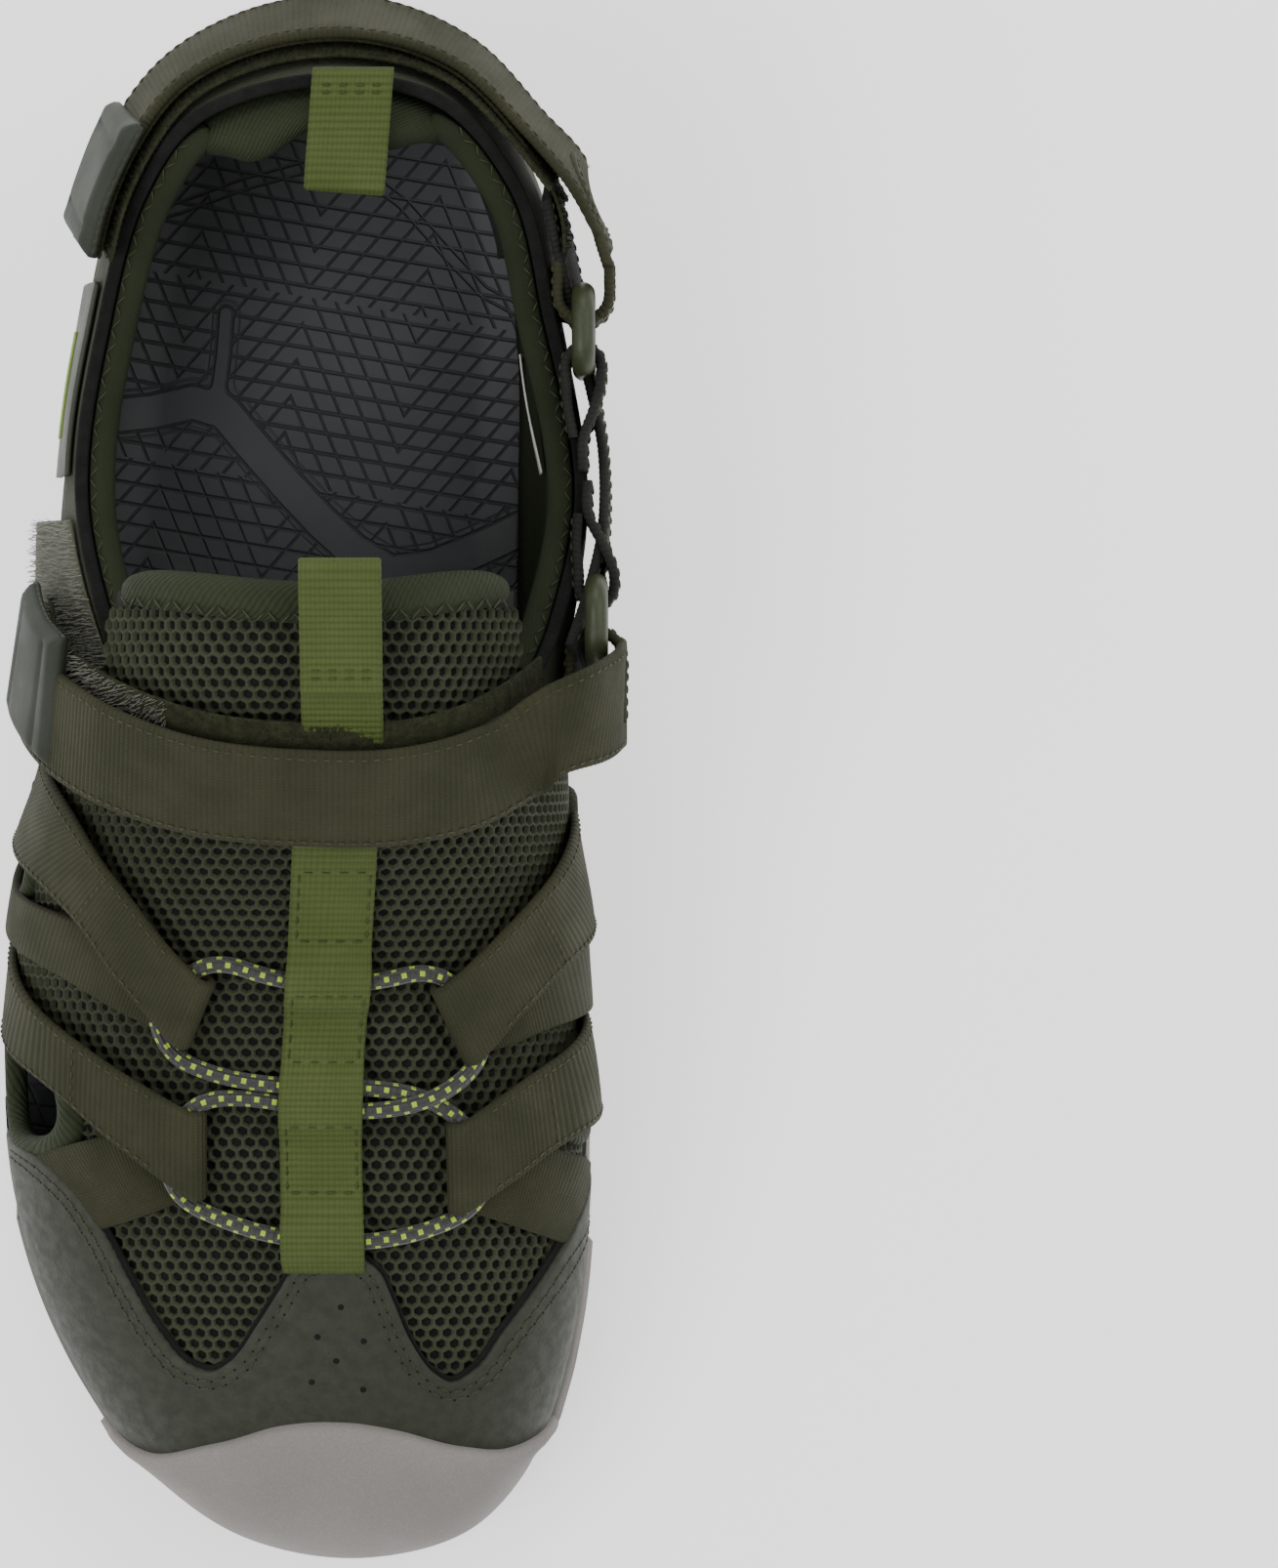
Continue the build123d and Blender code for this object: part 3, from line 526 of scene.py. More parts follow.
def hex_net(name: str, half: float, start: float, end: float, keep: Callable[[Array, Array], Array],
            lift: float, pitch: float = 2.5, thread: float = 0.42, depth: float = 1.0) -> Piece:
    """Air mesh: a knitted net of six-sided holes laid on the forefoot.

    Args:
        name: The piece's name.
        half: Half width of the cut, in millimetres from the ridge.
        start: Where it starts along the ridge, in millimetres.
        end: Where it ends.
        keep: Says from (degrees, y) which holes lie inside the piece.
        lift: Height of the threads above the base surface.
        pitch: From hole to hole.
        thread: Half width of the knitted thread.
        depth: How deep a hole goes before the spacer layer, coloured near black as painted shade.

    Returns:
        The piece; the spacer, near black as painted shade in the holes, is its second material.
    """
    radius = pitch / math.sqrt(3)
    columns = int(2 * half / pitch)
    rows = int((end - start) / (3 * radius))
    bm = bmesh.new()
    bmesh.ops.create_circle(bm, cap_ends=True, segments=6, radius=radius)
    bmesh.ops.spin(bm, geom=bm.faces[:], axis=(0, 0, 1), dvec=(pitch, 0, 0), steps=columns,
                   use_duplicate=True)
    second = bmesh.ops.duplicate(bm, geom=bm.verts[:] + bm.edges[:] + bm.faces[:])
    moved = [v for v in second["geom"] if isinstance(v, bmesh.types.BMVert)]
    bmesh.ops.translate(bm, verts=moved, vec=(pitch / 2, 1.5 * radius, 0))
    bmesh.ops.spin(bm, geom=bm.faces[:], axis=(0, 0, 1), dvec=(0, 3 * radius, 0), steps=rows,
                   use_duplicate=True)
    bmesh.ops.translate(bm, verts=bm.verts[:], vec=(-half, start, 0))
    centres = np.array([f.calc_center_median() for f in bm.faces])
    y, turn = ARCH.spread(centres[:, 0], centres[:, 1])
    wanted = keep(turn, y)
    bmesh.ops.delete(bm, geom=[f for f, good in zip(bm.faces[:], wanted) if not good], context="FACES")
    bmesh.ops.remove_doubles(bm, verts=bm.verts[:], dist=pitch / 40)
    cells = bm.faces[:]
    for inset, drop in ((thread * 0.62, 0.14), (thread * 0.38, depth)):
        bmesh.ops.inset_individual(bm, faces=cells, thickness=inset, use_even_offset=True)
        for cell in cells:
            for vert in cell.verts:
                vert.co.z = -drop
    # The hole floors take the second finish, near black as painted shade in the holes.
    for cell in cells:
        cell.material_index = 1
    flat = np.array([v.co for v in bm.verts])
    y, turn = ARCH.spread(flat[:, 0], flat[:, 1])
    for vert, spot in zip(bm.verts, ARCH.at(y, turn, lift + flat[:, 2])):
        vert.co = spot
    bm.normal_update()
    bm.faces.ensure_lookup_table()
    face = bm.faces[len(bm.faces) // 2]
    if face.normal.z < 0:
        bmesh.ops.reverse_faces(bm, faces=bm.faces[:])
    return finished(bm, name)


# ---- Finishes ----


def tone(red: int, green: int, blue: int) -> tuple[float, float, float, float]:
    """Linear colour from screen values of 0 to 255."""
    found = []
    for value in (red, green, blue):
        c = value / 255
        found.append(c / 12.92 if c <= 0.04045 else ((c + 0.055) / 1.055) ** 2.4)
    return (*found, 1.0)


OLIVE = tone(47, 48, 27)
OLIVE_DARK = tone(36, 38, 22)
GREEN = tone(67, 78, 32)
NET = tone(52, 56, 37)
BLACK = tone(15, 15, 14)
CAP_OLIVE = tone(46, 49, 37)
GREY_RUBBER = tone(128, 124, 120)
CHARCOAL = tone(62, 63, 65)
NEOPRENE = tone(37, 44, 22)
MOULDED = tone(52, 58, 36)
TAB = tone(44, 49, 39)
SHEATH = tone(50, 49, 48)
FLECK = tone(160, 190, 40)
HOOK = tone(150, 150, 142)


def group(name: str, inputs: dict[str, float | tuple], outputs: dict[str, str]) -> Tree:
    """A node group with named inputs and outputs; a tuple is a colour or a vector."""
    tree = bpy.data.node_groups.new(name, "ShaderNodeTree")
    for key, value in inputs.items():
        kind = "NodeSocketFloat"
        if isinstance(value, tuple):
            kind = "NodeSocketColor" if len(value) == 4 else "NodeSocketVector"
        socket = tree.interface.new_socket(key, in_out="INPUT", socket_type=kind)
        socket.default_value = value
    for key, kind in outputs.items():
        tree.interface.new_socket(key, in_out="OUTPUT", socket_type=kind)
    tree.nodes.new("NodeGroupInput")
    tree.nodes.new("NodeGroupOutput")
    return tree


@dataclass
class Wiring:
    """Short ways to place and join nodes in one tree."""

    tree: Tree

    def node(self, kind: str, values: dict | None = None, **settings: object) -> bpy.types.Node:
        """A node with settings, and with its inputs set or linked."""
        made = self.tree.nodes.new(kind)
        for key, value in settings.items():
            setattr(made, key, value)
        for key, value in (values or {}).items():
            self.join(value, made.inputs[key])
        return made

    def join(self, value: object, socket: Socket) -> None:
        """Links a socket to another, or sets its value."""
        if isinstance(value, Socket):
            self.tree.links.new(value, socket)
        else:
            socket.default_value = value

    def maths(self, operation: str, a: object, b: object = 0.0, c: object = 0.0) -> Socket:
        """Result of one sum."""
        made = self.node("ShaderNodeMath", operation=operation)
        for value, socket in zip((a, b, c), made.inputs):
            self.join(value, socket)
        return made.outputs[0]

    def mix(self, share: object, a: object, b: object) -> Socket:
        """A mix of two colours."""
        made = self.node("ShaderNodeMix", data_type="RGBA")
        for value, socket in zip((share, a, b), (made.inputs[0], made.inputs[6], made.inputs[7])):
            self.join(value, socket)
        return made.outputs[2]

    def uv(self) -> bpy.types.Node:
        """The piece's UV map, split into its two directions."""
        return self.node("ShaderNodeSeparateXYZ",
                         {"Vector": self.node("ShaderNodeUVMap", uv_map="UVMap").outputs[0]})

    def ripple(self, value: object, rate: float) -> Socket:
        """Even humps along a value."""
        return self.maths("ABSOLUTE", self.maths("SINE", self.maths("MULTIPLY", value, rate)))

    def ends(self) -> tuple[bpy.types.Node, bpy.types.Node]:
        """The group's own input and output nodes."""
        nodes = self.tree.nodes
        return nodes["Group Input"], nodes["Group Output"]


class Effects:
    """Node groups that several finishes share, each built once."""

    def __init__(self) -> None:
        """Builds the groups."""
        self.mottle = self._mottle()
        self.grain = self._grain()
        self.threads = self._threads()
        self.knit = self._knit()

    def _mottle(self) -> Tree:
        """Colour that drifts between two tones, with dust in patches."""
        values = {"Color": BLACK, "Other": BLACK, "Scale": 60.0, "Amount": 0.5}
        tree = group("Mottle", values, {"Color": "NodeSocketColor", "Mask": "NodeSocketFloat"})
        w = Wiring(tree)
        start, end = w.ends()
        spot = w.node("ShaderNodeTexCoord").outputs["Object"]
        broad = w.node("ShaderNodeTexNoise", {"Vector": spot, "Scale": start.outputs["Scale"], "Detail": 5.0})
        shaped = w.node("ShaderNodeMapRange", {"Value": broad.outputs[0], "From Min": 0.35, "From Max": 0.65})
        share = w.maths("MULTIPLY", shaped.outputs[0], start.outputs["Amount"])
        w.join(w.mix(share, start.outputs["Color"], start.outputs["Other"]), end.inputs["Color"])
        w.join(shaped.outputs[0], end.inputs["Mask"])
        return tree

    def _grain(self) -> Tree:
        """Leather or moulded grain: small cells and fine noise, as a height."""
        values = {"Scale": 900.0, "Fine": 3000.0, "Cells": 0.6}
        tree = group("Grain", values, {"Height": "NodeSocketFloat"})
        w = Wiring(tree)
        start, end = w.ends()
        spot = w.node("ShaderNodeTexCoord").outputs["Object"]
        cells = w.node("ShaderNodeTexVoronoi", {"Vector": spot, "Scale": start.outputs["Scale"]})
        fine = w.node("ShaderNodeTexNoise", {"Vector": spot, "Scale": start.outputs["Fine"], "Detail": 3.0})
        a = w.maths("MULTIPLY", cells.outputs["Distance"], start.outputs["Cells"])
        w.join(w.maths("ADD", a, fine.outputs[0]), end.inputs["Height"])
        return tree

    def _threads(self) -> Tree:
        """Warp threads along a woven band and fibres on them, from its UV map."""
        values = {"Warp": 2400.0, "Weft": 950.0}
        tree = group("Threads", values, {"Height": "NodeSocketFloat", "Fray": "NodeSocketFloat"})
        w = Wiring(tree)
        start, end = w.ends()
        split = w.uv()
        along = w.maths("MULTIPLY", split.outputs[0], start.outputs["Weft"])
        across = w.maths("MULTIPLY", split.outputs[1], start.outputs["Warp"])
        rows = w.ripple(across, math.pi)
        picks = w.ripple(along, math.pi)
        spot = w.node("ShaderNodeTexCoord").outputs["Object"]
        fray = w.node("ShaderNodeTexNoise", {"Vector": spot, "Scale": 2600.0, "Detail": 4.0})
        both = w.maths("ADD", w.maths("MULTIPLY", rows, 0.5), w.maths("MULTIPLY", picks, 0.7))
        w.join(w.maths("ADD", both, w.maths("MULTIPLY", fray.outputs[0], 0.5)), end.inputs["Height"])
        w.join(fray.outputs[0], end.inputs["Fray"])
        return tree

    def _knit(self) -> Tree:
        """Fine twill of a knitted face: slanting rows broken into stitches."""
        values = {"Rows": 900.0}
        tree = group("Knit", values, {"Height": "NodeSocketFloat"})
        w = Wiring(tree)
        start, end = w.ends()
        split = w.uv()
        a = w.maths("MULTIPLY", w.maths("ADD", split.outputs[0], split.outputs[1]), start.outputs["Rows"])
        b = w.maths("MULTIPLY", w.maths("SUBTRACT", split.outputs[0], split.outputs[1]),
                    start.outputs["Rows"])
        rows = w.ripple(a, math.pi)
        loops = w.ripple(b, 1.7)
        w.join(w.maths("ADD", rows, w.maths("MULTIPLY", loops, 0.35)), end.inputs["Height"])
        return tree


def blank_material(name: str) -> tuple[Material, Wiring, bpy.types.Node]:
    """A new material, its wiring and its shader."""
    made = bpy.data.materials.new(name)
    made.use_nodes = True
    return made, Wiring(made.node_tree), made.node_tree.nodes["Principled BSDF"]


@dataclass(frozen=True)
class Finish:
    """A surface finish made of a drifting colour, a relief and a sheen."""

    name: str
    slot: str
    colour: tuple
    other: tuple
    rough: float = 0.8
    drift: float = 60.0
    size: float = 900.0
    depth: float = 0.3
    amount: float = 0.5
    relief: str = "grain"
    distance: float = 0.0003
    sheen: float = 0.0
    coat: float = 0.0

    def material(self, effects: Effects) -> Material:
        """The finish as a material."""
        made, w, shader = blank_material(self.name)
        values = {"Color": self.colour, "Other": self.other, "Scale": self.drift, "Amount": self.amount}
        colour = w.node("ShaderNodeGroup", node_tree=effects.mottle)
        for key, value in values.items():
            w.join(value, colour.inputs[key])
        tree = {"grain": effects.grain, "threads": effects.threads, "knit": effects.knit}[self.relief]
        relief = w.node("ShaderNodeGroup", node_tree=tree)
        if self.relief == "grain":
            w.join(self.size, relief.inputs["Scale"])
            w.join(self.size * 3, relief.inputs["Fine"])
        elif self.relief == "threads":
            w.join(self.size, relief.inputs["Weft"])
            w.join(self.size * 2.5, relief.inputs["Warp"])
        else:
            w.join(self.size, relief.inputs["Rows"])
        bump = w.node("ShaderNodeBump", {"Height": relief.outputs["Height"], "Strength": self.depth,
                                         "Distance": self.distance})
        # Painted shade and highlight: the colour darkens in the relief's hollows and brightens on its crowns.
        shaded = w.maths("MULTIPLY_ADD", relief.outputs["Height"], 0.35, 0.72)
        shaded = w.maths("MINIMUM", shaded, 1.25)
        lit = w.node("ShaderNodeHueSaturation", {"Color": colour.outputs["Color"], "Value": shaded})
        w.join(lit.outputs[0], shader.inputs["Base Color"])
        rough = w.maths("MULTIPLY_ADD", colour.outputs["Mask"], 0.12, self.rough - 0.06)
        w.join(rough, shader.inputs["Roughness"])
        w.join(bump.outputs[0], shader.inputs["Normal"])
        shader.inputs["Sheen Weight"].default_value = self.sheen
        shader.inputs["Sheen Roughness"].default_value = 0.6
        shader.inputs["Sheen Tint"].default_value = self.colour
        shader.inputs["Specular IOR Level"].default_value = 0.35
        shader.inputs["Coat Weight"].default_value = self.coat
        return made


@dataclass(frozen=True)
class Sheath:
    """The bungee lace's braided sheath, with bright flecks in staggered rows."""

    name: str = "braided_sheath"
    slot: str = "lace_sheath"
    fleck_pitch: float = 3.2
    fleck_length: float = 0.9
    rows: int = 6

    def material(self, effects: Effects) -> Material:
        """The sheath as a material that reads the lace's UV map."""
        made, w, shader = blank_material(self.name)
        split = w.uv()
        round_it = w.maths("MULTIPLY", split.outputs[1], float(self.rows))
        row = w.maths("FLOOR", round_it)
        shift = w.maths("MULTIPLY", w.maths("MODULO", row, 2.0), 0.5)
        along = w.maths("ADD", w.maths("DIVIDE", split.outputs[0], self.fleck_pitch * MM), shift)
        here = w.maths("FRACT", along)
        fleck = w.maths("LESS_THAN", here, self.fleck_length / self.fleck_pitch)
        middle = w.maths("ABSOLUTE", w.maths("SUBTRACT", w.maths("FRACT", round_it), 0.5))
        fleck = w.maths("MULTIPLY", fleck, w.maths("LESS_THAN", middle, 0.33))
        plait = w.maths("SINE", w.maths("MULTIPLY", split.outputs[0], 5200.0))
        plait = w.maths("ADD", plait, w.maths("SINE", w.maths("MULTIPLY", split.outputs[1], 75.0)))
        mottle = w.node("ShaderNodeGroup", node_tree=effects.mottle)
        for key, value in {"Color": SHEATH, "Other": tone(38, 38, 36), "Scale": 700.0, "Amount": 0.7}.items():
            w.join(value, mottle.inputs[key])
        w.join(w.mix(fleck, mottle.outputs["Color"], FLECK), shader.inputs["Base Color"])
        bump = w.node("ShaderNodeBump", {"Height": plait, "Strength": 0.5, "Distance": 0.0002})
        w.join(bump.outputs[0], shader.inputs["Normal"])
        shader.inputs["Roughness"].default_value = 0.6
        shader.inputs["Sheen Weight"].default_value = 0.2
        return made


@dataclass(frozen=True)
class Moulding:
    """The footbed's moulded face: rows of pillows in chevrons, a plain band and double lines."""

    name: str = "footbed_foam"
    slot: str = "footbed_foam"
    slant: float = -9.5
    row: float = 3.8
    pillow: float = 4.3
    pillows: int = 5
    block: float = 35.0
    lean: float = 0.625
    band_half: float = 3.3
    row_groove: float = 0.13
    pillow_groove: float = 0.1
    line_width: float = 0.42

    def valley(self, w: Wiring, distance: Socket, width: float, floor: float = 0.0) -> object:
        """Height of a groove: floor on its line and 1 beside it."""
        made = w.node("ShaderNodeMapRange",
                      {"Value": distance, "From Min": 0.0, "From Max": width, "To Min": floor},
                      interpolation_type="SMOOTHSTEP")
        return made.outputs[0]

    def lines(self, w: Wiring, phase: object, width: float) -> object:
        """Height of evenly spaced grooves."""
        return self.valley(w, w.maths("ABSOLUTE", w.maths("SUBTRACT", w.maths("FRACT", phase), 0.5)), width)

    def lattice(self, w: Wiring) -> object:
        """Height of the chevron pattern, from the object's own coordinates."""
        split = w.node("ShaderNodeSeparateXYZ", {"Vector": w.node("ShaderNodeTexCoord").outputs["Object"]})
        c, s = math.cos(math.radians(self.slant)), math.sin(math.radians(self.slant))
        x, y = split.outputs[0], split.outputs[1]
        along = w.maths("ADD", w.maths("MULTIPLY", x, c / MM), w.maths("MULTIPLY_ADD", y, s / MM, 400.0))
        across = w.maths("ADD", w.maths("MULTIPLY", x, -s / MM), w.maths("MULTIPLY_ADD", y, c / MM, 400.0))
        cell = w.maths("FLOOR", w.maths("DIVIDE", along, self.pillow * self.pillows))
        block = w.maths("FLOOR", w.maths("DIVIDE", across, self.block))
        side = w.maths("MULTIPLY_ADD", w.maths("MODULO", w.maths("ADD", cell, block), 2.0), -2.0, 1.0)
        lean = w.maths("MULTIPLY", w.maths("MULTIPLY", across, self.lean), side)
        slanted = w.maths("DIVIDE", w.maths("SUBTRACT", along, lean), self.pillow)
        rows = self.lines(w, w.maths("DIVIDE", across, self.row), self.row_groove)
        return w.maths("MINIMUM", rows, self.lines(w, slanted, self.pillow_groove))

    def distance(self, w: Wiring, name: str) -> object:
        """A stored distance, in millimetres."""
        return w.node("ShaderNodeAttribute", attribute_name=name).outputs["Fac"]

    def material(self, effects: Effects) -> Material:
        """The footbed's face as a material."""
        made, w, shader = blank_material(self.name)
        spur = w.maths("ADD", self.distance(w, "spur"), 1.9)
        band = w.node("ShaderNodeMath", {0: self.distance(w, "band"), 1: spur, 2: 2.5},
                      operation="SMOOTH_MIN").outputs[0]
        plain = w.maths("LESS_THAN", band, self.band_half)
        height = w.maths("MAXIMUM", self.lattice(w), plain)
        for offset, floor in ((0.0, 0.0), (1.1, 0.45)):
            away = w.maths("ABSOLUTE", w.maths("SUBTRACT", band, self.band_half + offset))
            height = w.maths("MINIMUM", height, self.valley(w, away, self.line_width, floor))
        away = w.maths("ABSOLUTE", w.maths("SUBTRACT", self.distance(w, "heel_line"), 1.0))
        height = w.maths("MINIMUM", height, self.valley(w, away, self.line_width))
        grain = w.node("ShaderNodeGroup", {"Scale": 3200.0, "Fine": 9000.0}, node_tree=effects.grain)
        fine = w.maths("MULTIPLY", grain.outputs["Height"], 0.06)
        bump = w.node("ShaderNodeBump",
                      {"Height": w.maths("ADD", height, fine), "Strength": 1.0, "Distance": 0.0003})
        mottle = w.node("ShaderNodeGroup", {"Color": CHARCOAL, "Other": tone(52, 53, 56), "Scale": 70.0},
                        node_tree=effects.mottle)
        # Painted shade in the grooves and lines, painted highlight on the pillows and the plain band.
        shade = w.maths("MULTIPLY_ADD", height, 0.22, 0.84)
        lit = w.node("ShaderNodeHueSaturation", {"Color": mottle.outputs["Color"], "Value": shade})
        w.join(lit.outputs[0], shader.inputs["Base Color"])
        w.join(bump.outputs[0], shader.inputs["Normal"])
        shader.inputs["Roughness"].default_value = 0.55
        shader.inputs["Specular IOR Level"].default_value = 0.4
        return made


FINISHES = [
    Finish("woven_webbing", "webbing", OLIVE, OLIVE_DARK, 0.82, 90, 950, 0.5, amount=0.6, relief="threads",
           sheen=0.12),
    Finish("green_tape", "green_tape", GREEN, tone(60, 74, 29), 0.75, 120, 740, 0.5, relief="threads",
           sheen=0.12),
    Finish("keeper_webbing", "keeper_webbing", tone(30, 31, 27), BLACK, 0.8, 90, 950, 0.5, relief="threads"),
    Finish("net_thread", "air_mesh", NET, tone(44, 48, 31), 0.75, 200, 2600, 0.25, amount=0.6, sheen=0.15),
    # Near-black floor of the net's holes: painted shade in the holes.
    Finish("net_spacer_shade", "air_mesh", tone(17, 18, 14), tone(9, 10, 8), 0.95, 500, 2600, 0.3, amount=0.6),
    Finish("vamp_lining", "air_mesh", tone(34, 36, 27), tone(24, 26, 19), 0.9, 150, 700, 0.4, relief="knit"),
    Finish("mottled_leather", "synthetic_leather", CAP_OLIVE, tone(37, 40, 30), 0.62, 420, 1500, 0.28,
           amount=0.75),
    Finish("grey_rubber", "toe_rubber", GREY_RUBBER, tone(121, 117, 113), 0.72, 60, 2400, 0.22),
    Finish("grey_foam", "midsole_foam", tone(132, 128, 124), tone(122, 118, 114), 0.78, 50, 1900, 0.25),
    Finish("tread_rubber", "outsole_rubber", tone(48, 48, 46), tone(38, 38, 36), 0.75, 60, 1400, 0.3),
    Finish("soft_neoprene", "neoprene", NEOPRENE, tone(31, 37, 19), 0.85, 70, 720, 0.6, relief="knit",
           sheen=0.12),
    Finish("wall_fabric", "quarter_fabric", tone(56, 59, 44), tone(44, 47, 34), 0.85, 80, 900, 0.5,
           relief="knit"),
    # Black felt of the felt edges, also used as painted shade in the needle holes and punched holes.
    Finish("black_felt_and_hole_shade", "quarter_fabric", BLACK, tone(12, 12, 11), 0.95, 300, 1800, 0.6, amount=0.6),
    Finish("loop_pile", "loop_pile", tone(54, 57, 33), tone(34, 37, 20), 0.95, 500, 1500, 0.9, amount=0.8,
           distance=0.0009, sheen=0.3),
    Finish("hook_bed", "hook_tape", tone(74, 76, 60), tone(60, 62, 46), 0.7, 300, 1800, 0.5),
    Finish("hook_bristle", "hook_tape", HOOK, tone(128, 128, 122), 0.45, 300, 1800, 0.2),
    Finish("moulded_ring", "ring_plastic", MOULDED, tone(45, 51, 31), 0.42, 90, 1500, 0.12, amount=0.4),
    Finish("moulded_tab", "moulded_tab", TAB, tone(38, 42, 33), 0.68, 90, 2200, 0.2),
    Finish("tab_side", "moulded_tab", tone(44, 48, 37), tone(36, 40, 30), 0.5, 90, 2200, 0.2),
    Finish("badge_face", "badge", tone(48, 52, 40), tone(40, 44, 33), 0.5, 90, 1500, 0.2, amount=0.4),
    Finish("badge_stripe", "badge", tone(118, 146, 52), tone(104, 130, 44), 0.5, 90, 1500, 0.15, amount=0.4),
    Finish("woven_label", "label_fabric", tone(196, 196, 190), tone(182, 182, 176), 0.8, 200, 2400, 0.3,
           amount=0.4, relief="threads"),
    Finish("olive_thread", "webbing", tone(62, 62, 38), tone(50, 51, 30), 0.6, 400, 3000, 0.2),
    Finish("green_thread", "green_tape", tone(56, 68, 26), tone(44, 55, 20), 0.6, 400, 3000, 0.2),
    Finish("dark_thread", "neoprene", tone(58, 60, 38), tone(46, 48, 30), 0.6, 400, 3000, 0.2),
    Finish("pressed_board", "board", tone(120, 112, 98), tone(108, 100, 88), 0.9, 200, 1200, 0.3),
    Finish("counter_board", "counter_board", tone(40, 40, 38), tone(32, 32, 30), 0.7, 200, 1200, 0.3),
]


class Wardrobe:
    """Hands out each finish's material, made once."""

    def __init__(self) -> None:
        """Makes every finish."""
        effects = Effects()
        made = [*FINISHES, Sheath(), Moulding()]
        self.slots = {finish.name: finish.slot for finish in made}
        self.materials = {finish.name: finish.material(effects) for finish in made}

    def dress(self, piece: Piece, body: str, *names: str, replaces: tuple[str, ...] = (),
              bend: tuple | None = None) -> Piece:
        """Gives a piece its materials and, unless it has a bend, its body.

        Args:
            piece: The finished piece.
            body: The CAD body that it rides on.
            names: Finishes.
            replaces: CAD nodes that it stands for.
            bend: (other body, start, end); a piece with one stays in place, on no body.

        Returns:
            The piece.
        """
        for name in names:
            piece.data.materials.append(self.materials[name])
        if bend:
            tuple(bend[1])
            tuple(bend[2])
            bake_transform(piece)
        else:
            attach(piece, body)
        if replaces:
            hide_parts(*replaces)
        LOG.info("%s rides on %s, %d faces", piece.name, body, len(piece.data.polygons))
        return piece

    def recolour(self, node: Piece, name: str) -> None:
        """Gives a carried-over CAD node its material."""
        node.data.materials.clear()
        node.data.materials.append(self.materials[name])


# ---- Sole ----


def offset_line(points: Plan, distance: float) -> Plan:
    """An open plan line moved to its left."""
    p = np.array(points, float)
    run = unit(np.gradient(p, axis=0))
    return [tuple(q) for q in p + distance * np.stack([-run[:, 1], run[:, 0]], axis=-1)]


def round_line(points: Plan, at: Array) -> Array:
    """Points on a smooth closed line, for shares of its length."""
    p = np.array(points, float)
    chords = np.linalg.norm(np.roll(p, -1, axis=0) - p, axis=1)
    around = np.concatenate([[0], np.cumsum(chords)])
    places = np.concatenate([around[-4:-1] - around[-1], around, around[1:4] + around[-1]])
    values = np.vstack([p[-3:], p, p[:4]])
    return smooth(np.asarray(at) * around[-1], list(places), values)


def outline_inset(v: Array, distance: Array) -> Array:
    """Points of the sole's outline moved inwards, in millimetres."""
    here = round_line(SOLE_OUTLINE, v)
    run = unit(round_line(SOLE_OUTLINE, v + 0.004) - round_line(SOLE_OUTLINE, v - 0.004))
    return here + distance[..., None] * np.stack([-run[..., 1], run[..., 0]], axis=-1)


